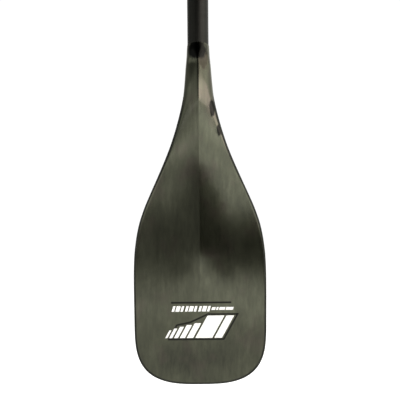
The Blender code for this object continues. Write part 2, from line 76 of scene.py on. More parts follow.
FRONT_TOP = [(-10, 13.35), (4, 13.45), (15, 14.2), (30, 14.6), (62, 14.2), (100, 11.2), (140, 8.3),
             (180, 5.95), (205, 5.0), (230, 4.45), (252, 4.1), (278, 3.1), (304, 2.15), (330, 1.95), (370, 1.9), (418, 1.8)]
FRONT_BASE = [(-10, 13.35), (4, 13.45), (30, 15.4), (60, 17.9), (80, 21.7), (110, 30.0), (140, 38.0),
              (180, 42.0), (225, 40.0), (260, 38.0), (300, 60.0), (418, 75.0)]
FRONT_POWER = [(-10, 1.1), (60, 1.15), (110, 1.4), (160, 1.8), (220, 2.0), (418, 2.0)]
BACK_TOP = [(-10, 13.35), (4, 13.45), (15, 14.2), (30, 15.0), (60, 15.2), (100, 13.5), (140, 10.5),
            (180, 7.5), (220, 5.0), (260, 3.2), (300, 2.4), (418, 1.9)]
BACK_BASE = [(-10, 13.35), (4, 13.45), (30, 15.4), (60, 17.9), (100, 24.0), (140, 26.0), (200, 28.0),
             (260, 34.0), (300, 60.0), (418, 70.0)]
SHAFT_R_NECK, SHAFT_R_TOP, SHAFT_BORE_TOP = 12.8, 14.5, 13.1
TENON_R, TENON_END, SHAFT_TOP, SHAFT_WALL = 12.2, -62.0, 1150.0, 1.3
COLLAR_LOW, COLLAR_HIGH, COLLAR_R = 1116.0, 1156.0, 18.2
SCREW_X, SCREW_Z, EAR_Y, PIVOT_Y = 23.5, 1136.0, 9.0, -19.0
TUBE_R, TUBE_BORE, TUBE_LOW, TUBE_HIGH = 12.5, 11.2, 640.0, 1212.0
STEM_LOW, GRIP_Z, GRIP_HALF, GRIP_RY, GRIP_RZ, GRIP_DROOP = 1172.0, 1250.0, 49.0, 14.5, 13.0, 6.0
RIM_WIDTH = 2.4


def smooth(table, u):
    if u <= table[0][0]:
        return table[0][1]
    if u >= table[-1][0]:
        return table[-1][1]
    n = len(table)
    slope = [(table[i + 1][1] - table[i][1]) / (table[i + 1][0] - table[i][0]) for i in range(n - 1)]

    def tangent(i):
        if i == 0:
            return slope[0]
        if i == n - 1:
            return slope[-1]
        a, b = slope[i - 1], slope[i]
        return 0.0 if a * b <= 0 else 2 * a * b / (a + b)

    i = max(k for k in range(n - 1) if table[k][0] <= u)
    h = table[i + 1][0] - table[i][0]
    t = (u - table[i][0]) / h
    m0, m1 = tangent(i) * h, tangent(i + 1) * h
    return ((2 * t**3 - 3 * t**2 + 1) * table[i][1] + (t**3 - 2 * t**2 + t) * m0
            + (-2 * t**3 + 3 * t**2) * table[i + 1][1] + (t**3 - t**2) * m1)


def step(a, b, t):
    t = min(max((t - a) / (b - a), 0.0), 1.0)
    return t * t * (3 - 2 * t)


def rake(u):
    a = math.tan(math.radians(RAKE_DEG))
    if u <= RAKE_FROM:
        return 0.0
    if u >= RAKE_TO:
        return a * ((RAKE_TO - RAKE_FROM) / 2 + (u - RAKE_TO))
    return a * (u - RAKE_FROM) ** 2 / 2 / (RAKE_TO - RAKE_FROM)


def edge_distance(x, u):
    x = abs(x)
    if u <= TIP_START - 20:
        return smooth(OUTLINE, u) - x
    w = smooth(OUTLINE, min(u, TIP_START))
    tau = max(u - TIP_START, 0.0) / (BLADE_LENGTH - TIP_START)
    h = x / w
    f = h**TIP_POWER_X + tau**TIP_POWER_U
    fx = TIP_POWER_X / w * h ** (TIP_POWER_X - 1)
    fu = TIP_POWER_U / (BLADE_LENGTH - TIP_START) * tau ** (TIP_POWER_U - 1)
    return (1 - f) / max(math.hypot(fx, fu), 1e-4)


class Station:
    """The section's sizes at one distance down the blade."""

    def __init__(self, u):
        self.u = u
        self.e, self.r = smooth(EDGE_HALF, u), smooth(EDGE_ROUND, u)
        self.front = (smooth(FRONT_TOP, u), smooth(FRONT_BASE, u), smooth(FRONT_POWER, u))
        self.back = (smooth(BACK_TOP, u), smooth(BACK_BASE, u))
        self.rake = rake(u)


stations = {}


def station(u):
    key = round(u, 3)
    if key not in stations:
        stations[key] = Station(u)
    return stations[key]


def height(x, u, is_front):
    s = station(u)
    d = max(edge_distance(x, u), 0.0)
    side = math.sqrt(max(1 - (1 - d / s.r) ** 2, 0.0)) if d < s.r else 1.0
    near_tip = min(1.0, d / 14.0) if u > 300 else 1.0
    if is_front:
        top, base, power = s.front
        crown = 0.9 * (1 - step(120, 190, u)) * step(8, 24, u)
        xi = min((math.hypot(x, crown) - crown) / base, 1.0)
        h = s.e * side + max(top - s.e, 0.0) * (1 - xi) ** power * near_tip
        if 4 < u < 56:      # two facets cut the round neck, leaving a tongue of it above the ridge
            dome = s.e * side + max(top - s.e, 0.0) * (1 - xi * xi)
            ease = max(26.0 - u, 0.0)
            peak = top + 0.13 * ease * ease / (ease + 4.0) - 0.6 * (math.hypot(x, 0.7) - 0.7)
            cut = min(dome, peak) - max(1.5 - abs(dome - peak), 0.0) ** 2 / 6.0
            w = step(4, 14, u) * (1 - step(18, 56, u))
            h += w * (cut - h)
        return h
    top, base = s.back
    xi = min(abs(x) / base, 1.0)
    return s.e * side + max(top - s.e, 0.0) * math.cos(math.pi * xi / 2) ** 2 * near_tip


def rim_width(u):
    return RIM_WIDTH * step(60, 92, u)


def inset_x(u, inset):
    """Half width of the outline drawn in by inset."""
    if u <= TIP_START:
        return smooth(OUTLINE, u) - inset
    rx, ru = BLADE_HALF_WIDTH - inset, BLADE_LENGTH - TIP_START - inset
    return rx * max(1 - ((u - TIP_START) / ru) ** TIP_POWER_U, 0.0) ** (1 / TIP_POWER_X)


# ---------------------------------------------------------------- materials
class Nodes:
    """A few short calls for building a node tree."""

    def __init__(self, name):
        self.m = bpy.data.materials.new(name)
        self.m.use_nodes = True
        self.tree = self.m.node_tree
        self.shader = self.tree.nodes["Principled BSDF"]
        self.coords = self.tree.nodes.new("ShaderNodeTexCoord").outputs["Object"]

    def link(self, a, b):
        self.tree.links.new(a, b)

    def put(self, **values):
        for key, value in values.items():
            socket = self.shader.inputs[key.replace("_", " ")]
            if hasattr(value, "links"):
                self.link(value, socket)
            else:
                socket.default_value = value

    def scaled(self, scale, turn=(0, 0, 0), source=None):
        n = self.tree.nodes.new("ShaderNodeMapping")
        self.link(source or self.coords, n.inputs["Vector"])
        n.inputs["Scale"].default_value = scale
        n.inputs["Rotation"].default_value = turn
        return n.outputs["Vector"]

    def noise(self, vector, scale=1.0, detail=3.0, rough=0.5, distort=0.0):
        n = self.tree.nodes.new("ShaderNodeTexNoise")
        self.link(vector, n.inputs["Vector"])
        n.inputs["Scale"].default_value = scale
        n.inputs["Detail"].default_value = detail
        n.inputs["Roughness"].default_value = rough
        n.inputs["Distortion"].default_value = distort
        return n.outputs["Fac"]

    def voronoi(self, vector, scale, feature="F1"):
        n = self.tree.nodes.new("ShaderNodeTexVoronoi")
        n.feature = feature
        self.link(vector, n.inputs["Vector"])
        n.inputs["Scale"].default_value = scale
        return n.outputs["Distance"]

    def ramp(self, fac, stops):
        n = self.tree.nodes.new("ShaderNodeValToRGB")
        self.link(fac, n.inputs["Fac"])
        e = n.color_ramp.elements
        while len(e) < len(stops):
            e.new(0.5)
        for k, (pos, colour) in enumerate(stops):
            e[k].position = pos
            c = colour if hasattr(colour, "__len__") else (colour,) * 3
            e[k].color = (*c[:3], 1.0)
        return n.outputs["Color"]

    def spread(self, value, a, b, c, d):
        n = self.tree.nodes.new("ShaderNodeMapRange")
        self.link(value, n.inputs["Value"])
        for key, v in (("From Min", a), ("From Max", b), ("To Min", c), ("To Max", d)):
            n.inputs[key].default_value = v
        return n.outputs["Result"]

    def math(self, op, a, b=0.0):
        n = self.tree.nodes.new("ShaderNodeMath")
        n.operation = op
        for k, v in enumerate((a, b)):
            if hasattr(v, "links"):
                self.link(v, n.inputs[k])
            else:
                n.inputs[k].default_value = v
        return n.outputs[0]

    def mix(self, fac, a, b, blend="MIX"):
        n = self.tree.nodes.new("ShaderNodeMix")
        n.data_type, n.blend_type = "RGBA", blend
        for key, v in ((0, fac), (6, a), (7, b)):
            if hasattr(v, "links"):
                self.link(v, n.inputs[key])
            else:
                n.inputs[key].default_value = v if key == 0 else (*v, 1.0)
        return n.outputs[2]

    def bump(self, value, strength, distance, normal=None):
        n = self.tree.nodes.new("ShaderNodeBump")
        self.link(value, n.inputs["Height"])
        n.inputs["Strength"].default_value = strength
        n.inputs["Distance"].default_value = distance
        if normal:
            self.link(normal, n.inputs["Normal"])
        return n.outputs["Normal"]

    def blob(self, centre, size):
        """1 at a point of the object falling smoothly to 0 at the edge of an ellipsoid."""
        n = self.tree.nodes.new("ShaderNodeMapping")
        n.vector_type = "TEXTURE"
        self.link(self.coords, n.inputs["Vector"])
        n.inputs["Location"].default_value = centre
        n.inputs["Scale"].default_value = size
        g = self.tree.nodes.new("ShaderNodeTexGradient")
        g.gradient_type = "QUADRATIC_SPHERE"
        self.link(n.outputs["Vector"], g.inputs["Vector"])
        return g.outputs["Fac"]


def blade_carbon(name, lift=1.0):
    """Fibres all run down the blade under a clear gloss coat."""
    n = Nodes(name)
    streak = n.noise(n.scaled((900, 900, 9)), 1.0, 4.0, 0.6)
    tow = n.noise(n.scaled((260, 260, 5), (0, 0.012, 0)), 1.0, 3.0, 0.55, 0.15)
    band = n.noise(n.scaled((70, 70, 3)), 1.0, 2.0, 0.5, 0.3)
    cloud = n.noise(n.scaled((22, 22, 14)), 1.0, 5.0, 0.62, 0.6)
    tint = n.noise(n.scaled((31, 31, 25), (0.3, 0.2, 0.9)), 1.0, 4.0, 0.6)
    value = n.math("ADD", n.math("MULTIPLY", streak, 0.15), n.math("MULTIPLY", tow, 0.20))
    value = n.math("ADD", value, n.math("ADD", n.math("MULTIPLY", band, 0.15), n.math("MULTIPLY", cloud, 0.36)))
    dark = n.blob((-0.006, 0.06, -0.388), (0.080, 0.1, 0.036))
    value = n.math("SUBTRACT", value, n.math("MULTIPLY", n.math("MULTIPLY", dark, n.noise(n.scaled((75, 75, 45), (0.2, 0.1, 0.4)), 1.0, 5.0, 0.65, 0.8)), 0.27))
    k = lift
    colour = n.ramp(value, [(0.30, (0.040 * k, 0.041 * k, 0.029 * k)), (0.43, (0.071 * k, 0.073 * k, 0.051 * k)), (0.56, (0.112 * k, 0.114 * k, 0.083 * k))])
    warm = n.ramp(tint, [(0.52, (0, 0, 0)), (0.72, (1, 1, 1))])
    colour = n.mix(n.math("MULTIPLY", warm, 0.62), colour, (0.078 * k, 0.060 * k, 0.054 * k))
    ragged = n.math("MULTIPLY", n.noise(n.scaled((420, 60, 130)), 1.0, 4.0, 0.65), 0.5)
    dark_reflection_and_edge_patches = None        # near black: a painted dark reflection over the neck's top, and patches along the right edge below it
    for centre, size in (((-0.0012, -0.012, -0.0095), (0.0190, 0.03, 0.0178)), ((0.0165, -0.01, -0.079), (0.0055, 0.03, 0.016)), ((0.0245, -0.01, -0.105), (0.0055, 0.03, 0.013))):
        one = n.ramp(n.math("ADD", n.blob(centre, size), ragged), [(0.32, (0, 0, 0)), (0.46, (1, 1, 1))])
        dark_reflection_and_edge_patches = one if dark_reflection_and_edge_patches is None else n.math("MAXIMUM", dark_reflection_and_edge_patches, one)
    dull = n.ramp(n.math("ADD", n.blob((0.0065, -0.012, -0.020), (0.0115, 0.03, 0.026)), ragged), [(0.36, (0, 0, 0)), (0.62, (1, 1, 1))])
    colour = n.mix(n.math("MULTIPLY", dull, 0.75), colour, (0.062, 0.053, 0.040))
    # near-black line along the blade's edge, from the neck down to the upper blade
    edge_darkening = n.tree.nodes.new("ShaderNodeAttribute")
    edge_darkening.attribute_name = "edge_darkening"
    dark_reflection_and_edge_patches = n.math("MAXIMUM", dark_reflection_and_edge_patches, n.ramp(n.math("ADD", edge_darkening.outputs["Fac"], n.math("MULTIPLY", ragged, 0.5)), [(0.42, (0, 0, 0)), (0.6, (0.9, 0.9, 0.9))]))
    colour = n.mix(dark_reflection_and_edge_patches, colour, (0.012, 0.012, 0.010))
    # painted dark reflection: the neck's top, darkened further to near black
    painted_dark_reflection = n.ramp(n.math("ADD", n.blob((-0.0045, -0.012, -0.0095), (0.0118, 0.03, 0.0180)), ragged), [(0.36, (0, 0, 0)), (0.54, (1, 1, 1))])
    colour = n.mix(painted_dark_reflection, colour, (0.0035, 0.0035, 0.0030))
    fibre = n.bump(streak, 0.10, 0.0002)
    fibre = n.bump(tow, 0.06, 0.0005, fibre)
    peel = n.bump(n.noise(n.scaled((160, 160, 110)), 1.0, 2.0, 0.4), 0.05, 0.0004)
    scuff = n.noise(n.scaled((60, 60, 420), (0.0, 0.5, 0.1)), 1.0, 5.0, 0.7)
    coat_rough = n.ramp(scuff, [(0.45, 0.06), (0.68, 0.12), (0.8, 0.3)])
    n.put(Base_Color=colour, Roughness=n.spread(dull, 0.0, 1.0, 0.15, 0.46), Metallic=0.985, Normal=fibre, IOR=1.5)
    n.put(Coat_Weight=n.spread(n.math("MAXIMUM", dark_reflection_and_edge_patches, dull), 0.0, 1.0, 0.5, 0.12), Coat_Roughness=coat_rough, Coat_IOR=1.5, Coat_Normal=peel, Coat_Tint=(1.0, 1.0, 0.92, 1.0))
    return n.m


def shaft_carbon(name):
    """Satin tube: lengthwise fibre under a sanded skin, with faint wrapping marks."""
    n = Nodes(name)
    streak = n.noise(n.scaled((1200, 1200, 14)), 1.0, 4.0, 0.6)
    wrap = n.noise(n.scaled((40, 40, 260), (0.25, 0.1, 0.0)), 1.0, 2.0, 0.5)
    cloud = n.noise(n.scaled((30, 30, 12)), 1.0, 4.0, 0.6)
    value = n.math("ADD", n.math("MULTIPLY", streak, 0.4), n.math("ADD", n.math("MULTIPLY", wrap, 0.25), n.math("MULTIPLY", cloud, 0.35)))
    colour = n.ramp(value, [(0.35, (0.019, 0.019, 0.017)), (0.65, (0.034, 0.034, 0.030))])
    normal = n.bump(streak, 0.25, 0.00012)
    normal = n.bump(wrap, 0.12, 0.0003, normal)
    rough = n.spread(cloud, 0.3, 0.7, 0.30, 0.44)
    n.put(Base_Color=colour, Roughness=rough, Metallic=0.93, Normal=normal, IOR=1.5)
    return n.m


def moulded(name, colour, rough=0.5, grain=0.35, scale=1400.0):
    """Moulded plastic with a fine spark grain, flow marks and polished high spots."""
    n = Nodes(name)
    grain_noise = n.noise(n.coords, scale, 2.0, 0.6)
    flow = n.noise(n.scaled((30, 30, 60), (0.4, 0.2, 0.3)), 1.0, 4.0, 0.6)
    fine = n.noise(n.coords, 260.0, 3.0, 0.6)
    dark = tuple(c * 0.72 for c in colour)
    light = tuple(min(c * 1.35 + 0.004, 1.0) for c in colour)
    c = n.ramp(n.math("ADD", n.math("MULTIPLY", flow, 0.65), n.math("MULTIPLY", fine, 0.35)), [(0.35, dark), (0.65, light)])
    normal = n.bump(grain_noise, grain, 0.00012)
    n.put(Base_Color=c, Roughness=n.spread(flow, 0.3, 0.7, rough - 0.08, rough + 0.1), Normal=normal)
    return n.m


def metal(name, colour, rough, brushed=(900, 900, 40)):
    n = Nodes(name)
    lines = n.noise(n.scaled(brushed), 1.0, 3.0, 0.6)
    patina = n.noise(n.coords, 120.0, 4.0, 0.6)
    c = n.ramp(patina, [(0.35, tuple(v * 0.8 for v in colour)), (0.65, colour)])
    n.put(Base_Color=c, Metallic=1.0, Roughness=n.spread(lines, 0.3, 0.7, rough - 0.06, rough + 0.12), Normal=n.bump(lines, 0.12, 0.0001))
    return n.m


def foam(name):
    n = Nodes(name)
    cells = n.voronoi(n.coords, 900.0)
    c = n.ramp(n.noise(n.coords, 300.0, 3.0), [(0.35, (0.62, 0.55, 0.38)), (0.65, (0.82, 0.75, 0.56))])
    n.put(Base_Color=c, Roughness=0.9, Normal=n.bump(cells, 0.5, 0.0004))
    return n.m


def ink(name, colour, rough=0.35):
    """Printed film, and the painted shadow along the label's edge: near flat colour with a faint mottle and a gloss
    that wears off in places.
    """
    n = Nodes(name)
    mottle = n.noise(n.coords, 500.0, 4.0, 0.6)
    wear = n.noise(n.scaled((90, 90, 160)), 1.0, 5.0, 0.7)
    c = n.ramp(mottle, [(0.3, tuple(v * 0.93 for v in colour)), (0.7, colour)])
    n.put(Base_Color=c, Roughness=n.spread(wear, 0.3, 0.7, rough - 0.08, rough + 0.15), Normal=n.bump(mottle, 0.05, 0.0001), Coat_Weight=0.5, Coat_Roughness=0.1)
    return n.m


BLADE = blade_carbon("carbon_blade")
BLADE_BACK = blade_carbon("carbon_blade_back", 0.95)
SHAFT = shaft_carbon("carbon_shaft")
RIM = moulded("edge_resin", (0.016, 0.017, 0.013), 0.46, 0.2, 900.0)
RIM.node_tree.nodes["Principled BSDF"].inputs["Specular IOR Level"].default_value = 0.15
NYLON = moulded("black_nylon", (0.020, 0.020, 0.021), 0.50)
NYLON_GRIP = moulded("grip_nylon", (0.018, 0.018, 0.018), 0.56, 0.5, 1000.0)
NYLON_CAP = moulded("cap_nylon", (0.03, 0.03, 0.03), 0.5)
RUBBER = moulded("black_rubber", (0.012, 0.012, 0.012), 0.78, 0.25, 700.0)
ACETAL = moulded("white_acetal", (0.78, 0.78, 0.74), 0.4, 0.1)
STEEL = metal("stainless_steel", (0.62, 0.62, 0.61), 0.26)
BRASS = metal("turned_brass", (0.72, 0.55, 0.27), 0.3, (60, 60, 1600))
FOAM = foam("core_foam")
WHITE = ink("white_ink", (0.93, 0.93, 0.92), 0.45)
BLACK_INK_AND_SHADOW = ink("dark_ink_and_painted_shadow", (0.012, 0.012, 0.010), 0.4)
BLACK_INK_AND_SHADOW.node_tree.nodes["Principled BSDF"].inputs["Coat Weight"].default_value = 0.0
BLACK_INK_AND_SHADOW.node_tree.nodes["Principled BSDF"].inputs["Specular IOR Level"].default_value = 0.12
SCALE_FILM = ink("scale_film", (0.72, 0.72, 0.69), 0.45)
FILM = blade_carbon("film_over_carbon", 1.08)


# ---------------------------------------------------------------- mesh helpers
def mm(x, y, z):
    return Vector((x * MM, y * MM, z * MM))


def add(name, bm, mat, smooth_angle=32.0, recalc=True):
    if recalc:
        bmesh.ops.recalc_face_normals(bm, faces=bm.faces)
    mesh = bpy.data.meshes.new(name)
    bm.to_mesh(mesh)
    bm.free()
    mesh.shade_smooth()
    mesh.set_sharp_from_angle(angle=math.radians(smooth_angle))
    o = bpy.data.objects.new(name, mesh)
    bpy.context.scene.collection.objects.link(o)
    if mat:
        o.data.materials.append(mat)
    return o


def grid_solid(name, outer, inner, mat, close=False):
    """A closed shell from two point grids, joined round their edges."""
    bm = bmesh.new()
    rows, cols = len(outer), len(outer[0])
    a = [[bm.verts.new(p) for p in row] for row in outer]
    b = [[bm.verts.new(p) for p in row] for row in inner]
    for i in range(rows - 1):
        for j in range(cols - 1):
            bm.faces.new((a[i][j], a[i][j + 1], a[i + 1][j + 1], a[i + 1][j]))
            bm.faces.new((b[i][j], b[i + 1][j], b[i + 1][j + 1], b[i][j + 1]))
    for i in range(rows - 1):
        for j in (0, cols - 1):
            bm.faces.new((a[i][j], a[i + 1][j], b[i + 1][j], b[i][j]))
    for j in range(cols - 1):
        for i in (0, rows - 1):
            bm.faces.new((a[i][j], b[i][j], b[i][j + 1], a[i][j + 1]))
    return add(name, bm, mat)


def turned(name, profile, mat, segments=96, axis="Z", centre=(0, 0, 0), phase=0.0, angle=32.0):
    bm = bmesh.new()
    turn = {"Z": Matrix.Identity(3), "Y": Matrix(((1, 0, 0), (0, 0, 1), (0, -1, 0)))}[axis]
    rings = []
    for r, h in profile:
        if r <= 0:
            rings.append([bm.verts.new(mm(*(turn @ Vector((0, 0, h)) + Vector(centre))))])
            continue
        rings.append([bm.verts.new(mm(*(turn @ Vector((r * math.cos(2 * math.pi * (k + phase) / segments), r * math.sin(2 * math.pi * (k + phase) / segments), h)) + Vector(centre)))) for k in range(segments)])
    for one, two in zip(rings, rings[1:] + rings[:1]):
        if len(one) == 1 and len(two) == 1:
            continue
        for k in range(segments):
            n = (k + 1) % segments
            if len(one) == 1:
                bm.faces.new((one[0], two[k], two[n]))
            elif len(two) == 1:
                bm.faces.new((one[k], one[n], two[0]))
            else:
                bm.faces.new((one[k], one[n], two[n], two[k]))
    return add(name, bm, mat, angle)


def rounded(profile, radius=0.5, steps=3):
    """Cuts the corners of a closed (r, h) outline with small arcs. Points on the axis stay."""
    out = []
    n = len(profile)
    for i in range(n):
        p = Vector(profile[i])
        if p.x <= 0:
            out.append(tuple(p))
            continue
        a, b = Vector(profile[i - 1]) - p, Vector(profile[(i + 1) % n]) - p
        d = min(radius, a.length * 0.4, b.length * 0.4)
        p0, p1 = p + a.normalized() * d, p + b.normalized() * d
        for k in range(steps + 1):
            t = k / steps
            out.append(tuple((1 - t) ** 2 * p0 + 2 * t * (1 - t) * p + t * t * p1))
    return out


def box(name, low, high, mat=None):
    bm = bmesh.new()
    bmesh.ops.create_cube(bm, size=1.0)
    for v in bm.verts:
        v.co = mm(*[low[k] if v.co[k] < 0 else high[k] for k in range(3)])
    return add(name, bm, mat)


def prism(name, outline, z0, z1, mat=None):
    bm = bmesh.new()
    low = [bm.verts.new(mm(x, y, z0)) for x, y in outline]
    high = [bm.verts.new(mm(x, y, z1)) for x, y in outline]
    n = len(outline)
    bm.faces.new(low[::-1])
    bm.faces.new(high)
    for k in range(n):
        bm.faces.new((low[k], low[(k + 1) % n], high[(k + 1) % n], high[k]))
    return add(name, bm, mat)


def settle(o):
    """Applies o's modifiers."""
    bpy.context.view_layer.update()
    graph = bpy.context.evaluated_depsgraph_get()
    made = bpy.data.meshes.new_from_object(o.evaluated_get(graph))
    o.modifiers.clear()
    o.data = made
    return o


def combine(target, tool, operation):
    m = target.modifiers.new("combine", "BOOLEAN")
    m.operation, m.solver, m.object = operation, "EXACT", tool
    settle(target)
    bpy.data.objects.remove(tool, do_unlink=True)
    bm = bmesh.new()
    bm.from_mesh(target.data)
    bmesh.ops.remove_doubles(bm, verts=bm.verts, dist=2e-6)
    bmesh.ops.dissolve_degenerate(bm, edges=bm.edges, dist=2e-6)
    bm.to_mesh(target.data)
    bm.free()
    return target


def soften(o, width=0.6, segments=3, angle=35.0):
    """Rounds the hard edges, as moulded and machined parts have them."""
    m = o.modifiers.new("soften", "BEVEL")
    m.width, m.segments, m.limit_method, m.angle_limit = width * MM, segments, "ANGLE", math.radians(angle)
    m.use_clamp_overlap, m.harden_normals = True, False
    settle(o)
    o.data.shade_smooth()
    o.data.set_sharp_from_angle(angle=math.radians(40))
    return o


def rod(radius, low, high, axis, centre, segments=48, phase=0.0):
    return turned("tool", [(0, low), (radius, low), (radius, high), (0, high)], None, segments, axis, centre, phase)


def place(o, body, slot, *nodes):
    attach(o, body)
    if nodes:
        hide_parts(*nodes)
    return o


# ---------------------------------------------------------------- blade
def arch(x):
    return 3.4 - 3.0 * math.sqrt(max(1 - (x / 13.4) ** 2, 0.0))


def tip_rows():
    rows = [340 + 4.0 * k for k in range(1, 13)]
    rows += [388 + 2.0 * k for k in range(1, 10)]
    rows += [406 + 0.8 * k for k in range(1, 11)]
    return rows


def build_skin(name, is_front, mat):
    side = -1 if is_front else 1
    half = 34
    ts = [0.5 * (1 - math.cos(math.pi * k / half)) for k in range(half + 1)]
    ts = [-t for t in reversed(ts[1:])] + ts
    outer, inner = [], []
    inset_end = BLADE_LENGTH - RIM_WIDTH - 0.03

    def row(u_at, w):
        o, i = [], []
        for t in ts:
            x = w * t
            u = u_at(x)
            y = max(height(x, u, is_front), 0.06)
            if u < 66:
                r = 13.1 if u < 4.9 else 12.5
                deep = math.sqrt(max(r * r - x * x, 0.0)) if abs(x) < r else 0.0
                deep = deep - side * rake(u) if deep > 0 else 0.02
            else:
                deep = y - 0.8
            o.append(mm(x, rake(u) + side * y, -u))
            i.append(mm(x, rake(u) + side * max(min(deep, y - 0.03), 0.02), -u))
        outer.append(o)
        inner.append(i)

    for t in (0.0, 0.06, 0.12, 0.3, 0.6, 1.0):
        lip = 0.12 * (1 - min(t / 0.12, 1.0))
        row(lambda x: arch(x) * (1 - t) + 6.4 * t, smooth(OUTLINE, 3.5 + 3 * t) - lip)
    us = [8 + 1.5 * k for k in range(35)] + [60 + 2.5 * k for k in range(24)] + [120 + 4.0 * k for k in range(56)]
    for u0 in us:
        row(lambda x: u0, inset_x(u0, rim_width(u0) + (0.03 if u0 > 60 else 0)))
    for u0 in tip_rows():
        row(lambda x: u0, inset_x(u0, RIM_WIDTH + 0.03))
    for phi in (73, 77, 80.5, 83.5, 86, 88):
        p = math.radians(phi)
        u0 = TIP_START + (inset_end - TIP_START) * math.sin(p) ** (2 / TIP_POWER_U)
        if u0 > 414.05:
            row(lambda x: u0, inset_x(u0, RIM_WIDTH + 0.03))
    o = grid_solid(name, outer, inner, mat)
    mesh = o.data
    # where the blade's colour is darkened to near black along its edge
    edge_darkening = mesh.attributes.new("edge_darkening", "FLOAT", "POINT")    # 1 at the very edge, 0 well inside it
    for v, value in zip(mesh.vertices, edge_darkening.data):
        u = -v.co.z / MM
        near = (edge_distance(v.co.x / MM, u) - rim_width(u)) / 1.0
        value.value = max(1.0 - max(near, 0.0), 0.0) * step(50, 70, u) * (1 - step(140, 190, u))
    if is_front:
        for e in mesh.edges:
            a, b = (mesh.vertices[k].co for k in e.vertices)
            if abs(a.x) < 1e-7 and abs(b.x) < 1e-7 and -0.25 < a.z < -0.019 and -0.25 < b.z < -0.019:
                e.use_edge_sharp = True
    return o


def build_rim(mat):
    us = [64 + 2.0 * k for k in range(18)] + [100 + 4.0 * k for k in range(60)]
    outer_line = [(inset_x(u, 0.0), u) for u in us]
    inner_line = [(inset_x(u, rim_width(u)), u) for u in us]
    for k in range(0, 61):
        p = math.radians(90 * k / 60)
        for line, inset in ((outer_line, 0.0), (inner_line, RIM_WIDTH)):
            rx, ru = BLADE_HALF_WIDTH - inset, BLADE_LENGTH - TIP_START - inset
            line.append((rx * math.cos(p) ** (2 / TIP_POWER_X) if k < 60 else 0.0, TIP_START + ru * math.sin(p) ** (2 / TIP_POWER_U)))
    pairs = list(zip(outer_line, inner_line))
    pairs += [((-o[0], o[1]), (-i[0], i[1])) for o, i in reversed(pairs[:-1])]
    ts = [0.0, 0.18, 0.36, 0.54, 0.7, 0.83, 0.93, 0.985]
    profile = [(t, -1) for t in ts] + [(1.0, 0)] + [(t, 1) for t in reversed(ts)]
    bm = bmesh.new()
    rings = []
    for (ox, ou), (ix, iu) in pairs:
        ring = []
        for t, s in profile:
            x, u = ix + (ox - ix) * t, iu + (ou - iu) * t
            h = 0.0 if s == 0 else height(x, u, s < 0)
            ring.append(bm.verts.new(mm(x, rake(u) + s * h, -u)))
        rings.append(ring)
    n = len(rings[0])
    for one, two in zip(rings, rings[1:]):
        for k in range(n):
            bm.faces.new((one[k], one[(k + 1) % n], two[(k + 1) % n], two[k]))
    bm.faces.new(rings[0])
    bm.faces.new(rings[-1][::-1])
    return add("edge_band", bm, mat, 60)


def on_face(x, u, lift):
    return mm(x, rake(u) - height(x, u, True) - lift, -u)


def decal(name, outline, lift, thick, mat, cell=3.0):
    """A flat (x, u) shape laid on the power face, cut into cells so that it follows the face."""
    bm = bmesh.new()
    f = bm.faces.new([bm.verts.new((x, 0, u)) for x, u in outline])
    for axis, lo, hi in (("x", min(p[0] for p in outline), max(p[0] for p in outline)), ("u", min(p[1] for p in outline), max(p[1] for p in outline))):
        at = math.ceil(lo / cell) * cell
        while at < hi:
            co, no = (Vector((at, 0, 0)), Vector((1, 0, 0))) if axis == "x" else (Vector((0, 0, at)), Vector((0, 0, 1)))
            bmesh.ops.bisect_plane(bm, geom=bm.verts[:] + bm.edges[:] + bm.faces[:], plane_co=co, plane_no=no)
            at += cell
    bmesh.ops.remove_doubles(bm, verts=bm.verts, dist=1e-4)
    made = bmesh.ops.extrude_face_region(bm, geom=bm.faces[:])
    top = {v for v in made["geom"] if isinstance(v, bmesh.types.BMVert)}
    for v in bm.verts:
        x, u = v.co.x, v.co.z
        v.co = on_face(x, u, lift + (thick if v in top else 0.0))
    return add(name, bm, mat)


def rounded_outline(points, radius, steps=5):
    out = []
    n = len(points)
    for i in range(n):
        p = Vector(points[i])
        a, b = Vector(points[i - 1]) - p, Vector(points[(i + 1) % n]) - p
        d = min(radius, a.length * 0.45, b.length * 0.45)
        p0, p1 = p + a.normalized() * d, p + b.normalized() * d
        for k in range(steps + 1):
            t = k / steps
            out.append(tuple((1 - t) ** 2 * p0 + 2 * t * (1 - t) * p + t * t * p1))
    return out


def band(name, outline, width, lift, thick, mat):
    """A narrow closed line of constant width just inside an (x, u) outline."""
    n = len(outline)
    centre = sum((Vector(p) for p in outline), Vector((0, 0))) / n
    bm = bmesh.new()
    rings = []
    for i in range(n):
        p, a, b = Vector(outline[i]), Vector(outline[i - 1]), Vector(outline[(i + 1) % n])
        t = (b - a).normalized()
        nrm = Vector((-t.y, t.x))
        if nrm.dot(centre - p) < 0:
            nrm = -nrm
        q = p + nrm * width
        rings.append([bm.verts.new(on_face(p.x, p.y, lift)), bm.verts.new(on_face(q.x, q.y, lift)), bm.verts.new(on_face(q.x, q.y, lift + thick)), bm.verts.new(on_face(p.x, p.y, lift + thick))])
    for one, two in zip(rings, rings[1:] + rings[:1]):
        for k in range(4):
            bm.faces.new((one[k], one[(k + 1) % 4], two[(k + 1) % 4], two[k]))
    return add(name, bm, mat)


def dense(points, cell=2.5):
    out = []
    for i, p in enumerate(points):
        a, b = Vector(p), Vector(points[(i + 1) % len(points)])
        k = max(1, int((b - a).length / cell))
        out += [tuple(a.lerp(b, j / k)) for j in range(k)]
    return out


front_skin = place(build_skin("power_face", True, BLADE), "paddle_shaft", "blade_carbon", "power_face_skin")
back_skin = place(build_skin("back_face", False, BLADE_BACK), "paddle_shaft", "blade_carbon", "back_face_skin")
place(build_rim(RIM), "paddle_shaft", "edge_resin", "edge_rim")

# The film label and its mark: slanted bars and a dashed line, in place of any lettering.
SLANT = 0.55


def bar(x0, x1, u0, u1, slant=SLANT):
    return [(x0 + slant * (u1 - u0), u0), (x1 + slant * (u1 - u0), u0), (x1, u1), (x0, u1)]


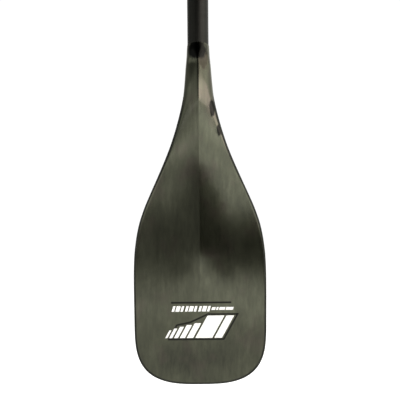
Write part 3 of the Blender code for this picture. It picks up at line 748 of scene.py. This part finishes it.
film_outline = rounded_outline([(-36, 312.6), (39, 312.6), (45, 329), (29, 361.5), (-48, 361.5), (-40, 340)], 3.0)
place(decal("label_film", film_outline, 0.03, 0.1, FILM), "paddle_shaft", "clear_film", "blade_sticker")
# painted shadow of the film's cut edge: a dark line above the mark and a dark band round it
place(decal("painted_film_shadow_line", rounded_outline([(-36, 313.2), (38.5, 313.2), (38.5, 315.4), (-36, 315.4)], 0.5), 0.15, 0.04, BLACK_INK_AND_SHADOW), "paddle_shaft", "clear_film")
contour = [(-41.0, 361.4), (-41.0 + SLANT * 20, 341.4), (-13.0, 338.0), (-9.5 + SLANT * 33.6, 327.8), (29.5 + SLANT * 33.6, 327.8), (29.5, 361.4)]
place(band("painted_film_shadow_band", dense(rounded_outline(contour, 1.2, 3)), 2.1, 0.15, 0.04, BLACK_INK_AND_SHADOW), "paddle_shaft", "clear_film")
x = -6.5
for k, (w, gap) in enumerate([(21, 2.6), (9.5, 3.0)]):
    place(decal(f"mark_bar_{k}", rounded_outline(bar(x, x + w, 330.6, 358.6), 0.8, 3), 0.15, 0.05, WHITE), "paddle_shaft", "clear_film")
    x += w + gap
x = -9.2
for k, w in enumerate([8.0, 6.5, 5.0, 3.8, 2.6]):
    u0 = 340.0 + 2.2 * k
    place(decal(f"mark_bar_{k + 2}", rounded_outline(bar(x - w, x, u0, 358.6), 0.6, 3), 0.15, 0.05, WHITE), "paddle_shaft", "clear_film")
    x -= w + 2.2
x = -35.5
for k, (w, gap) in enumerate([(3.0, 1.4), (5.0, 1.4), (3.0, 2.6)] * 3 + [(4.5, 1.2), (2.5, 1.2), (7.0, 1.2), (9.0, 1.6)]):
    u0, u1 = (318.6, 325.4) if k < 9 else (320.0, 323.6)
    place(decal(f"mark_dash_{k}", bar(x, x + w, u0, u1, 0.3), 0.15, 0.05, WHITE), "paddle_shaft", "clear_film")
    x += w + gap

# ---------------------------------------------------------------- shaft
taper = [(0, SHAFT_R_NECK), (60, 12.95), (180, 13.5), (330, 14.15), (460, SHAFT_R_TOP)]
outside = [(TENON_R, TENON_END), (TENON_R, -4.6), (SHAFT_R_NECK, -4.0)]
outside += [(smooth(taper, z), z + 20) for z in range(0, 461, 20)] + [(SHAFT_R_TOP, SHAFT_TOP - 0.4), (SHAFT_R_TOP - 0.4, SHAFT_TOP)]
inside = [(SHAFT_BORE_TOP + 0.2, SHAFT_TOP), (SHAFT_BORE_TOP, SHAFT_TOP - 0.2), (SHAFT_BORE_TOP, 500)]
inside += [(r - SHAFT_WALL, z + 20) for z, r in reversed(taper[:-1])] + [(TENON_R - SHAFT_WALL, -4.0), (TENON_R - SHAFT_WALL, TENON_END)]
tube = turned("shaft", outside + inside, SHAFT, 96)
for low, high in (((-20, -0.9, SHAFT_TOP - 36), (20, 0.9, SHAFT_TOP + 2)), ((-0.9, -20, SHAFT_TOP - 36), (0.9, 20, SHAFT_TOP + 2))):
    combine(tube, box("slot", low, high), "DIFFERENCE")
tube.data.shade_smooth()
tube.data.set_sharp_from_angle(angle=math.radians(30))
place(tube, "paddle_shaft", "shaft_carbon", "shaft_tube")


# ---------------------------------------------------------------- clamp
def build_collar():
    c = turned("collar", rounded([(0, COLLAR_LOW), (COLLAR_R, COLLAR_LOW), (COLLAR_R, COLLAR_HIGH), (0, COLLAR_HIGH)], 0.8), NYLON, 96)
    ear = box("ear", (8, -EAR_Y, 1122), (30, EAR_Y, 1150))
    combine(c, ear, "UNION")
    combine(c, box("pad", (-21.5, -8, 1120), (-8, 8, 1152)), "UNION")
    for z in (1118.6, 1153.4):      # two fine grooves round the collar
        ring = turned("groove", [(COLLAR_R - 0.5, z - 0.45), (COLLAR_R + 1, z - 0.9), (COLLAR_R + 1, z + 0.9), (COLLAR_R - 0.5, z + 0.45)], None, 96)
        combine(c, ring, "DIFFERENCE")
    bore = turned("bore", [(0, 1110), (SHAFT_R_TOP + 0.05, 1110), (SHAFT_R_TOP + 0.05, SHAFT_TOP + 0.3), (13.5, SHAFT_TOP + 0.3), (13.5, 1160), (0, 1160)], None, 96)
    combine(c, bore, "DIFFERENCE")
    combine(c, box("slit", (10, -1.6, 1110), (35, 1.6, 1162)), "DIFFERENCE")
    for s in (-1, 1):               # lightening pockets in the ears' ends
        combine(c, box("pocket", (27.6, min(s * 3.4, s * 7.2), 1125.5), (32, max(s * 3.4, s * 7.2), 1146.5)), "DIFFERENCE")
    combine(c, rod(2.9, -12, 12, "Y", (SCREW_X, 0, SCREW_Z)), "DIFFERENCE")
    return soften(c, 0.55, 3)


def build_lever():
    cx = SCREW_X + 1.0 * math.cos(math.radians(110))
    cy = PIVOT_Y + 1.0 * math.sin(math.radians(110))
    cam_body = rod(7.25, 1124, 1148, "Z", (cx, cy, 0), 96)
    cam_body.name = cam_body.data.name = "lever_arm"
    cam_body.data.materials.append(NYLON)
    inner_r, outer_r = 19.6, 23.4
    angles = [-66 - 3.25 * k for k in range(25)]
    outline = [(SCREW_X - 1, PIVOT_Y - 6.6)]
    outline += [(outer_r * math.cos(math.radians(a)), outer_r * math.sin(math.radians(a))) for a in [-74] + angles[3:]]
    end = math.radians(angles[-1] - 5)
    outline += [(25.6 * math.cos(end + 0.02), 25.6 * math.sin(end + 0.02)), (26.5 * math.cos(end - 0.02), 26.5 * math.sin(end - 0.02)), (25.6 * math.cos(end - 0.08), 25.6 * math.sin(end - 0.08)), (24.2 * math.cos(end - 0.10), 24.2 * math.sin(end - 0.10)), (21.5 * math.cos(end - 0.06), 21.5 * math.sin(end - 0.06))]
    outline += [(inner_r * math.cos(math.radians(a)), inner_r * math.sin(math.radians(a))) for a in reversed(angles)]
    outline += [(15.5, -15.2), (SCREW_X - 3, PIVOT_Y + 5.5)]
    combine(cam_body, prism("arm", outline, 1127, 1145), "UNION")
    combine(cam_body, box("slot", (13.2, -32, SCREW_Z - 4.2), (36, -8, SCREW_Z + 4.2)), "DIFFERENCE")
    combine(cam_body, rod(4.6, 1120, 1152, "Z", (SCREW_X, PIVOT_Y, 0)), "DIFFERENCE")
    # a shallow window along the arm's outside
    a0, a1 = -88, -122
    ring = [(outer_r - 1.1, a) for a in range(a0, a1 - 1, -2)] + [(outer_r + 2, a) for a in range(a1, a0 + 1, 2)]
    window = [(r * math.cos(math.radians(a)), r * math.sin(math.radians(a))) for r, a in ring]
    combine(cam_body, prism("window", window, 1131, 1141), "DIFFERENCE")
    for k in range(5):              # finger grooves across the tip
        a = math.radians(-131 - 3.4 * k)
        combine(cam_body, rod(0.75, 1125, 1147, "Z", ((outer_r + 0.3) * math.cos(a), (outer_r + 0.3) * math.sin(a), 0), 16), "DIFFERENCE")
    return soften(cam_body, 0.4, 2, 40)


collar = place(build_collar(), "paddle_shaft", "nylon", "clamp_collar")
place(turned("wiper", rounded([(13.15, COLLAR_HIGH + 0.05), (16.4, COLLAR_HIGH + 0.05), (16.0, 1159.4), (13.9, 1160.6), (13.15, 1160.2)], 0.5), RUBBER, 96), "paddle_shaft", "rubber", "wiper_ring")
pad = box("cam_pad_plate", (16.5, -EAR_Y - 1.5, 1123), (29.5, -EAR_Y - 0.05, 1149), ACETAL)
combine(pad, rod(2.9, -14, -4, "Y", (SCREW_X, 0, SCREW_Z)), "DIFFERENCE")
place(soften(pad, 0.3, 2), "paddle_shaft", "acetal", "cam_pad")
place(turned("washer", rounded([(2.8, EAR_Y + 0.05), (5.0, EAR_Y + 0.05), (5.0, EAR_Y + 1.3), (2.8, EAR_Y + 1.3)], 0.2), STEEL, 64, "Y", (SCREW_X, 0, SCREW_Z)), "paddle_shaft", "steel", "screw_washer")


def build_screw():
    thread = [(0, -24.5), (2.0, -24.5)]
    h = -24.1
    while h < -8.0:                 # ring crests at the thread's pitch
        thread += [(2.12, h), (2.5, h + 0.4)]
        h += 0.8
    profile = thread + [(2.5, h), (2.5, 10.6), (4.25, 10.6), (4.25, 15.0), (4.05, 15.4), (3.7, 15.6), (0, 15.6)]
    s = turned("clamp_bolt", profile, STEEL, 48, "Y", (SCREW_X, 0, SCREW_Z))
    combine(s, turned("hex", [(0, 12.9), (2.3, 12.9), (2.3, 17.0), (0, 17.0)], None, 6, "Y", (SCREW_X, 0, SCREW_Z)), "DIFFERENCE")
    for k in range(24):             # knurled head
        a = 2 * math.pi * k / 24
        combine(s, rod(0.16, 11.1, 14.9, "Y", (SCREW_X + 4.25 * math.cos(a), 0, SCREW_Z + 4.25 * math.sin(a)), 6), "DIFFERENCE")
    s.data.shade_smooth()
    s.data.set_sharp_from_angle(angle=math.radians(30))
    return s


place(build_screw(), "clamp_screw", "steel", "tension_screw")
barrel = turned("barrel_pin", rounded([(0, 1124.2), (4.5, 1124.2), (4.5, 1147.8), (0, 1147.8)], 0.5), BRASS, 64, "Z", (SCREW_X, PIVOT_Y, 0))
combine(barrel, rod(2.6, -26, -12, "Y", (SCREW_X, 0, SCREW_Z)), "DIFFERENCE")
for z in (1124.2, 1147.8):          # screwdriver slots
    combine(barrel, box("cut", (SCREW_X - 3.4, PIVOT_Y - 0.4, z - 0.5), (SCREW_X + 3.4, PIVOT_Y + 0.4, z + 0.5)), "DIFFERENCE")
barrel.data.shade_smooth()
barrel.data.set_sharp_from_angle(angle=math.radians(30))
place(barrel, "barrel", "brass", "barrel_nut")
place(build_lever(), "lever", "nylon", "cam_lever")

# ---------------------------------------------------------------- handle
place(turned("inner_tube", [(TUBE_BORE, TUBE_LOW), (TUBE_R, TUBE_LOW), (TUBE_R, TUBE_HIGH), (TUBE_BORE, TUBE_HIGH)], SHAFT, 96), "handle", "shaft_carbon", "handle_tube")


def on_tube(angle, z, lift):
    t = math.radians(angle)
    return mm((TUBE_R + lift) * math.cos(t), (TUBE_R + lift) * math.sin(t), z)


def tube_patch(name, outline, lift, thick, mat, cell=4.0):
    """A flat (degrees, z) shape wrapped on the handle's tube."""
    bm = bmesh.new()
    bm.faces.new([bm.verts.new((a, 0, z)) for a, z in outline])
    lo, hi = min(p[0] for p in outline), max(p[0] for p in outline)
    at = math.ceil(lo / cell) * cell
    while at < hi:
        bmesh.ops.bisect_plane(bm, geom=bm.verts[:] + bm.edges[:] + bm.faces[:], plane_co=Vector((at, 0, 0)), plane_no=Vector((1, 0, 0)))
        at += cell
    made = bmesh.ops.extrude_face_region(bm, geom=bm.faces[:])
    top = {v for v in made["geom"] if isinstance(v, bmesh.types.BMVert)}
    for v in bm.verts:
        v.co = on_tube(v.co.x, v.co.z, lift + (thick if v in top else 0.0))
    return add(name, bm, mat)


place(tube_patch("scale_strip", rounded_outline([(247.5, 735), (292.5, 735), (292.5, 1166), (247.5, 1166)], 2.0), 0.02, 0.08, SCALE_FILM), "handle", "scale_print", "length_scale")


def joined(name, objects, mat):
    bm = bmesh.new()
    for o in objects:
        bm.from_mesh(o.data)
        bpy.data.objects.remove(o, do_unlink=True)
    return add(name, bm, mat, recalc=False)


# Seven-bar digits, so the scale reads in centimetres at the wiper's lip.
BARS = {"0": "abcdef", "1": "bc", "2": "abged", "3": "abgcd", "4": "fgbc", "5": "afgcd", "6": "afgedc", "7": "abc", "8": "abcdefg", "9": "abcdfg"}


def digit_bars(ch, a0, z0):
    w, h, t = 6.6, 4.2, 0.42          # degrees across, millimetres high, line width
    tw = t / TUBE_R * 180 / math.pi
    rects = {"a": (0, h - t, w, h), "g": (0, (h - t) / 2, w, (h + t) / 2), "d": (0, 0, w, t),
             "f": (0, h / 2, tw, h), "b": (w - tw, h / 2, w, h), "e": (0, 0, tw, h / 2), "c": (w - tw, 0, w, h / 2)}
    return [[(a0 + p[0], z0 + p[1]), (a0 + p[2], z0 + p[1]), (a0 + p[2], z0 + p[3]), (a0 + p[0], z0 + p[3])] for p in (rects[b] for b in BARS[ch])]


marks = []
for cm in range(168, 211):
    z = 1160.0 - (cm - 168) * 10.0
    if not 737 < z < 1165:
        continue
    wide = cm % 5 == 0
    a0 = 249.0
    marks.append(tube_patch("m", [(a0, z - 0.2), (a0 + (13 if wide else 7), z - 0.2), (a0 + (13 if wide else 7), z + 0.2), (a0, z + 0.2)], 0.09, 0.04, None))
    if wide:
        for k, ch in enumerate(str(cm)):
            for r in digit_bars(ch, a0 + 16 + 8.4 * k, z - 2.1):
                marks.append(tube_patch("m", r, 0.09, 0.04, None))
place(joined("scale_marks", marks, BLACK_INK_AND_SHADOW), "handle", "scale_print")


def build_grip():
    half = GRIP_HALF
    bm = bmesh.new()
    rings = []
    steps, segments = 40, 48
    for i in range(1, steps):
        x = half * math.sin(math.pi / 2 * (2 * i / steps - 1))
        k = (1 - abs(x / half) ** 4.0) ** 0.5
        zc = GRIP_Z - GRIP_DROOP * (x / GRIP_HALF) ** 2
        rings.append([bm.verts.new(mm(x, GRIP_RY * k * math.cos(2 * math.pi * s / segments), zc + GRIP_RZ * k * math.sin(2 * math.pi * s / segments))) for s in range(segments)])
    for one, two in zip(rings, rings[1:]):
        for s in range(segments):
            n = (s + 1) % segments
            bm.faces.new((one[s], one[n], two[n], two[s]))
    for ring, x in ((rings[0], -half), (rings[-1], half)):
        tip = bm.verts.new(mm(x, 0, GRIP_Z - GRIP_DROOP))
        for s in range(segments):
            bm.faces.new((ring[s], ring[(s + 1) % segments], tip))
    grip = add("grip", bm, NYLON_GRIP)
    wide = [(STEM_LOW, 15.9), (1190, 15.3), (1206, 15.6), (1220, 18.6), (1232, 24.5), (1243, 31.0)]
    deep = [(STEM_LOW, 15.9), (1190, 15.3), (1206, 14.8), (1220, 13.8), (1232, 13.0), (1243, 12.4)]
    bm = bmesh.new()
    rings = []
    for i in range(37):
        z = STEM_LOW + (1243 - STEM_LOW) * i / 36
        rings.append([bm.verts.new(mm(smooth(wide, z) * math.cos(2 * math.pi * s / 64), smooth(deep, z) * math.sin(2 * math.pi * s / 64), z)) for s in range(64)])
    for one, two in zip(rings, rings[1:]):
        for s in range(64):
            bm.faces.new((one[s], one[(s + 1) % 64], two[(s + 1) % 64], two[s]))
    bm.faces.new(rings[0][::-1])
    bm.faces.new(rings[-1])
    stem = add("stem", bm, None)
    combine(grip, stem, "UNION")
    # one skin over the joint, then relaxed into a hand-friendly fillet
    m = grip.modifiers.new("skin", "REMESH")
    m.mode, m.voxel_size, m.use_smooth_shade = "VOXEL", 1.0 * MM, True
    s = grip.modifiers.new("relax", "SMOOTH")
    s.factor, s.iterations = 0.5, 14
    settle(grip)
    return grip


grip = build_grip()
halves = []
for name, side, node in (("grip_front", -1, "grip_front_shell"), ("grip_back", 1, "grip_back_shell")):
    half_grip = grip.copy()
    half_grip.data = grip.data.copy()
    half_grip.name = half_grip.data.name = name
    bpy.context.scene.collection.objects.link(half_grip)
    low = (-60, -0.04, 1150) if side < 0 else (-60, -30, 1150)
    high = (60, 30, 1300) if side < 0 else (60, 0.04, 1300)
    combine(half_grip, box("half", low, high), "DIFFERENCE")
    combine(half_grip, rod(TUBE_R + 0.1, STEM_LOW - 5, TUBE_HIGH + 0.3, "Z", (0, 0, 0), 96), "DIFFERENCE")
    b = half_grip.modifiers.new("seam", "BEVEL")
    b.width, b.segments, b.limit_method, b.angle_limit = 0.35 * MM, 2, "ANGLE", math.radians(50)
    settle(half_grip)
    half_grip.data.shade_smooth()
    half_grip.data.set_sharp_from_angle(angle=math.radians(40))
    if not half_grip.data.materials:
        half_grip.data.materials.append(NYLON_GRIP)
    place(half_grip, "handle", "nylon", node)
bpy.data.objects.remove(grip, do_unlink=True)

# ---------------------------------------------------------------- carried-over pieces
for node, mat in (("foam_core", FOAM), ("shaft_end_plug", FOAM), ("handle_top_plug", FOAM), ("grip_core", FOAM),
                  ("handle_end_cap", NYLON_CAP), ("guide_ring", ACETAL)):
    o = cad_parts[node]
    for s in o.material_slots:
        s.material = mat

# ---------------------------------------------------------------- stage
def emission(name, colour, strength):
    m = bpy.data.materials.new(name)
    m.use_nodes = True
    t = m.node_tree
    t.nodes.clear()
    e = t.nodes.new("ShaderNodeEmission")
    e.inputs["Color"].default_value = (*colour, 1)
    e.inputs["Strength"].default_value = strength
    out = t.nodes.new("ShaderNodeOutputMaterial")
    t.links.new(e.outputs[0], out.inputs[0])
    return m


FLOOR_Z = -0.56
bm = bmesh.new()
bmesh.ops.create_grid(bm, x_segments=2, y_segments=2, size=14.0)
for v in bm.verts:
    v.co.z = FLOOR_Z
floor = add("floor", bm, None, recalc=False)
n = Nodes("pale_floor")
n.put(Base_Color=n.ramp(n.noise(n.coords, 3.0, 4.0), [(0.4, (0.60, 0.60, 0.595)), (0.6, (0.63, 0.63, 0.625))]), Roughness=0.9, Specular_IOR_Level=0.1)
n.put(Emission_Color=(1.0, 1.0, 0.995, 1.0), Emission_Strength=0.86)
floor.data.materials.append(n.m)


def flag(name, corners, mat):
    """A card that only gloss sees, as a studio's black flag shapes a reflection."""
    bm = bmesh.new()
    bm.faces.new([bm.verts.new(c) for c in corners])
    o = add(name, bm, mat, recalc=False)
    o.visible_camera = o.visible_diffuse = o.visible_shadow = o.visible_transmission = o.visible_volume_scatter = False
    return o


def card_light():
    """Light of the card in front of the blade: stops run away from the paddle, left and right of it."""
    n = Nodes("card_light")
    n.tree.nodes.remove(n.shader)
    parts = n.tree.nodes.new("ShaderNodeSeparateXYZ")
    n.link(n.coords, parts.inputs[0])
    away = n.math("MULTIPLY", parts.outputs["Y"], -1.0)
    reach = n.math("DIVIDE", away, 4.0)

    def stops(values):
        return n.ramp(reach, [(d / 4.0, (0.5 * v, 0.5 * v * 1.01, 0.5 * v * 0.95)) for d, v in values])

    left = stops([(0.28, 0.92), (0.37, 0.95), (0.43, 1.12), (0.50, 1.10), (0.55, 0.80), (0.61, 0.46), (0.66, 0.26), (0.72, 0.20), (0.88, 0.20), (0.97, 0.34), (1.12, 0.72), (1.7, 1.50), (2.4, 1.10), (3.0, 0.80), (4.0, 0.78)])
    right = stops([(0.28, 0.92), (0.37, 0.98), (0.43, 1.36), (0.52, 1.40), (0.57, 1.05), (0.61, 0.52), (0.65, 0.14), (0.70, 0.06), (0.90, 0.06), (0.965, 0.6), (1.03, 1.55), (1.3, 1.8), (1.8, 1.65), (2.6, 2.15), (4.0, 2.15)])
    side = n.spread(n.math("DIVIDE", parts.outputs["X"], away), -0.02, 0.05, 0.0, 1.0)
    colour = n.mix(side, left, right)
    colour = n.mix(n.ramp(n.blob((0.255, -0.80, -0.545), (0.24, 0.36, 0.3)), [(0.03, (0, 0, 0)), (0.22, (1, 1, 1))]), colour, (0.0, 0.0, 0.0))
    across = n.math("ABSOLUTE", n.math("DIVIDE", parts.outputs["X"], n.math("MAXIMUM", n.math("ABSOLUTE", away), 0.05)))
    colour = n.mix(n.spread(across, 0.75, 1.9, 0.0, 0.92), colour, (0.06, 0.06, 0.055))
    colour = n.mix(n.spread(away, -0.25, -0.8, 0.0, 1.0), colour, (0.40, 0.40, 0.385))
    light = n.tree.nodes.new("ShaderNodeEmission")
    light.inputs["Strength"].default_value = 2.0
    n.link(colour, light.inputs["Color"])
    n.link(light.outputs[0], n.tree.nodes["Material Output"].inputs[0])
    return n.m


flag("flag_floor", [(-5, -5, -0.545), (5, -5, -0.545), (5, 5, -0.545), (-5, 5, -0.545)], card_light())

# ---------------------------------------------------------------- light
world = bpy.data.worlds.new("studio")
bpy.context.scene.world = world
world.use_nodes = True
wt = world.node_tree
wt.nodes.clear()


def wnode(kind, **inputs):
    k = wt.nodes.new(kind)
    for key, v in inputs.items():
        s = k.inputs[key.replace("_", " ")]
        if hasattr(v, "links"):
            wt.links.new(v, s)
        else:
            s.default_value = v
    return k


direction = wnode("ShaderNodeTexCoord").outputs["Generated"]


def towards(v, a, b):
    """0 away from a direction, 1 near it, between two cosines."""
    d = wt.nodes.new("ShaderNodeVectorMath")
    d.operation = "DOT_PRODUCT"
    wt.links.new(direction, d.inputs[0])
    d.inputs[1].default_value = Vector(v).normalized()
    r = wt.nodes.new("ShaderNodeMapRange")
    r.interpolation_type = "SMOOTHSTEP"
    wt.links.new(d.outputs["Value"], r.inputs["Value"])
    r.inputs["From Min"].default_value, r.inputs["From Max"].default_value = a, b
    return r.outputs["Result"]


def wmix(fac, a, b):
    m = wt.nodes.new("ShaderNodeMix")
    m.data_type = "RGBA"
    for key, v in ((0, fac), (6, a), (7, b)):
        if hasattr(v, "links"):
            wt.links.new(v, m.inputs[key])
        else:
            m.inputs[key].default_value = v if key == 0 else (*v, 1.0)
    return m.outputs[2]




def wmath(op, a, b=0.0):
    m = wt.nodes.new("ShaderNodeMath")
    m.operation = op
    for k, v in enumerate((a, b)):
        if hasattr(v, "links"):
            wt.links.new(v, m.inputs[k])
        else:
            m.inputs[k].default_value = v
    return m.outputs[0]


def low(a, b, floor_level):
    """1 below the height a of a direction, floor_level above b."""
    r = wt.nodes.new("ShaderNodeMapRange")
    r.interpolation_type = "SMOOTHSTEP"
    wt.links.new(split.outputs["Z"], r.inputs["Value"])
    for key, v in (("From Min", a), ("From Max", b), ("To Min", 1.0), ("To Max", floor_level)):
        r.inputs[key].default_value = v
    return r.outputs["Result"]


def lobe(azimuth, height_deg, wide, narrow, gate=None):
    """A soft patch of light round one direction, wide and narrow in degrees."""
    a, e = math.radians(azimuth), math.radians(height_deg)
    v = (math.sin(a) * math.cos(e), -math.cos(a) * math.cos(e), math.sin(e))
    f = towards(v, math.cos(math.radians(wide)), math.cos(math.radians(narrow)))
    return wmath("MULTIPLY", f, gate) if gate else f


split = wnode("ShaderNodeSeparateXYZ", Vector=direction)
room = (0.02, 0.02, 0.019)
room = wmix(lobe(-78, 0, 60, 20, low(0.14, 0.28, 0.22)), room, (0.78, 0.80, 0.74))
room = wmix(lobe(85, 10, 60, 15), room, (1.9, 1.88, 1.72))
room = wmix(lobe(43, 0, 36, 15, low(0.15, 0.215, 0.13)), room, (3.75, 3.4, 3.3))
room = wmix(lobe(-118, 30, 45, 15), room, (0.34, 0.34, 0.32))
room = wmix(lobe(118, 15, 45, 15), room, (1.05, 1.05, 1.0))
room = wmix(lobe(180, 30, 50, 20, wmath("SUBTRACT", 1.0, low(0.14, 0.24, 0.0))), room, (0.85, 0.85, 0.80))
path = wt.nodes.new("ShaderNodeLightPath")
seen = wnode("ShaderNodeBackground", Color=(1.0, 1.0, 0.998, 1.0), Strength=1.05)
lit = wnode("ShaderNodeBackground", Color=room, Strength=1.0)
mix = wt.nodes.new("ShaderNodeMixShader")
wt.links.new(path.outputs["Is Camera Ray"], mix.inputs[0])
wt.links.new(lit.outputs[0], mix.inputs[1])
wt.links.new(seen.outputs[0], mix.inputs[2])
out = wt.nodes.new("ShaderNodeOutputWorld")
wt.links.new(mix.outputs[0], out.inputs[0])


def softbox(name, at, aim, size, radiance, colour=(1, 1, 1)):
    d = bpy.data.lights.new(name, "AREA")
    d.shape, d.size, d.size_y = "RECTANGLE", size[0], size[1]
    d.energy = radiance * math.pi * size[0] * size[1]
    d.color = colour
    o = bpy.data.objects.new(name, d)
    bpy.context.scene.collection.objects.link(o)
    o.location = at
    o.rotation_mode = "QUATERNION"
    o.rotation_quaternion = (Vector(aim) - Vector(at)).to_track_quat("-Z", "Y")
    o.visible_camera = o.visible_glossy = False
    return o


softbox("key_right", (1.25, -1.25, 0.12), (0, 0, -0.1), (0.9, 1.0), 4.8, (1.0, 0.95, 0.86))
softbox("fill_left", (-1.9, -0.7, 0.6), (0, 0, 0.1), (1.0, 1.6), 1.2)
softbox("top", (0.2, 0.3, 2.6), (0, 0, 0), (1.6, 1.6), 2.0).visible_glossy = True
softbox("back_right", (1.5, 1.6, 0.9), (0, 0, 0.2), (0.9, 1.8), 2.4)
softbox("back_left", (-1.6, 1.5, 0.5), (0, 0, 0.0), (0.7, 1.8), 1.6)

scene = bpy.context.scene
scene.view_settings.view_transform = "Standard"
scene.view_settings.look = "None"
scene.view_settings.exposure = 0.0
scene.view_settings.gamma = 1.0
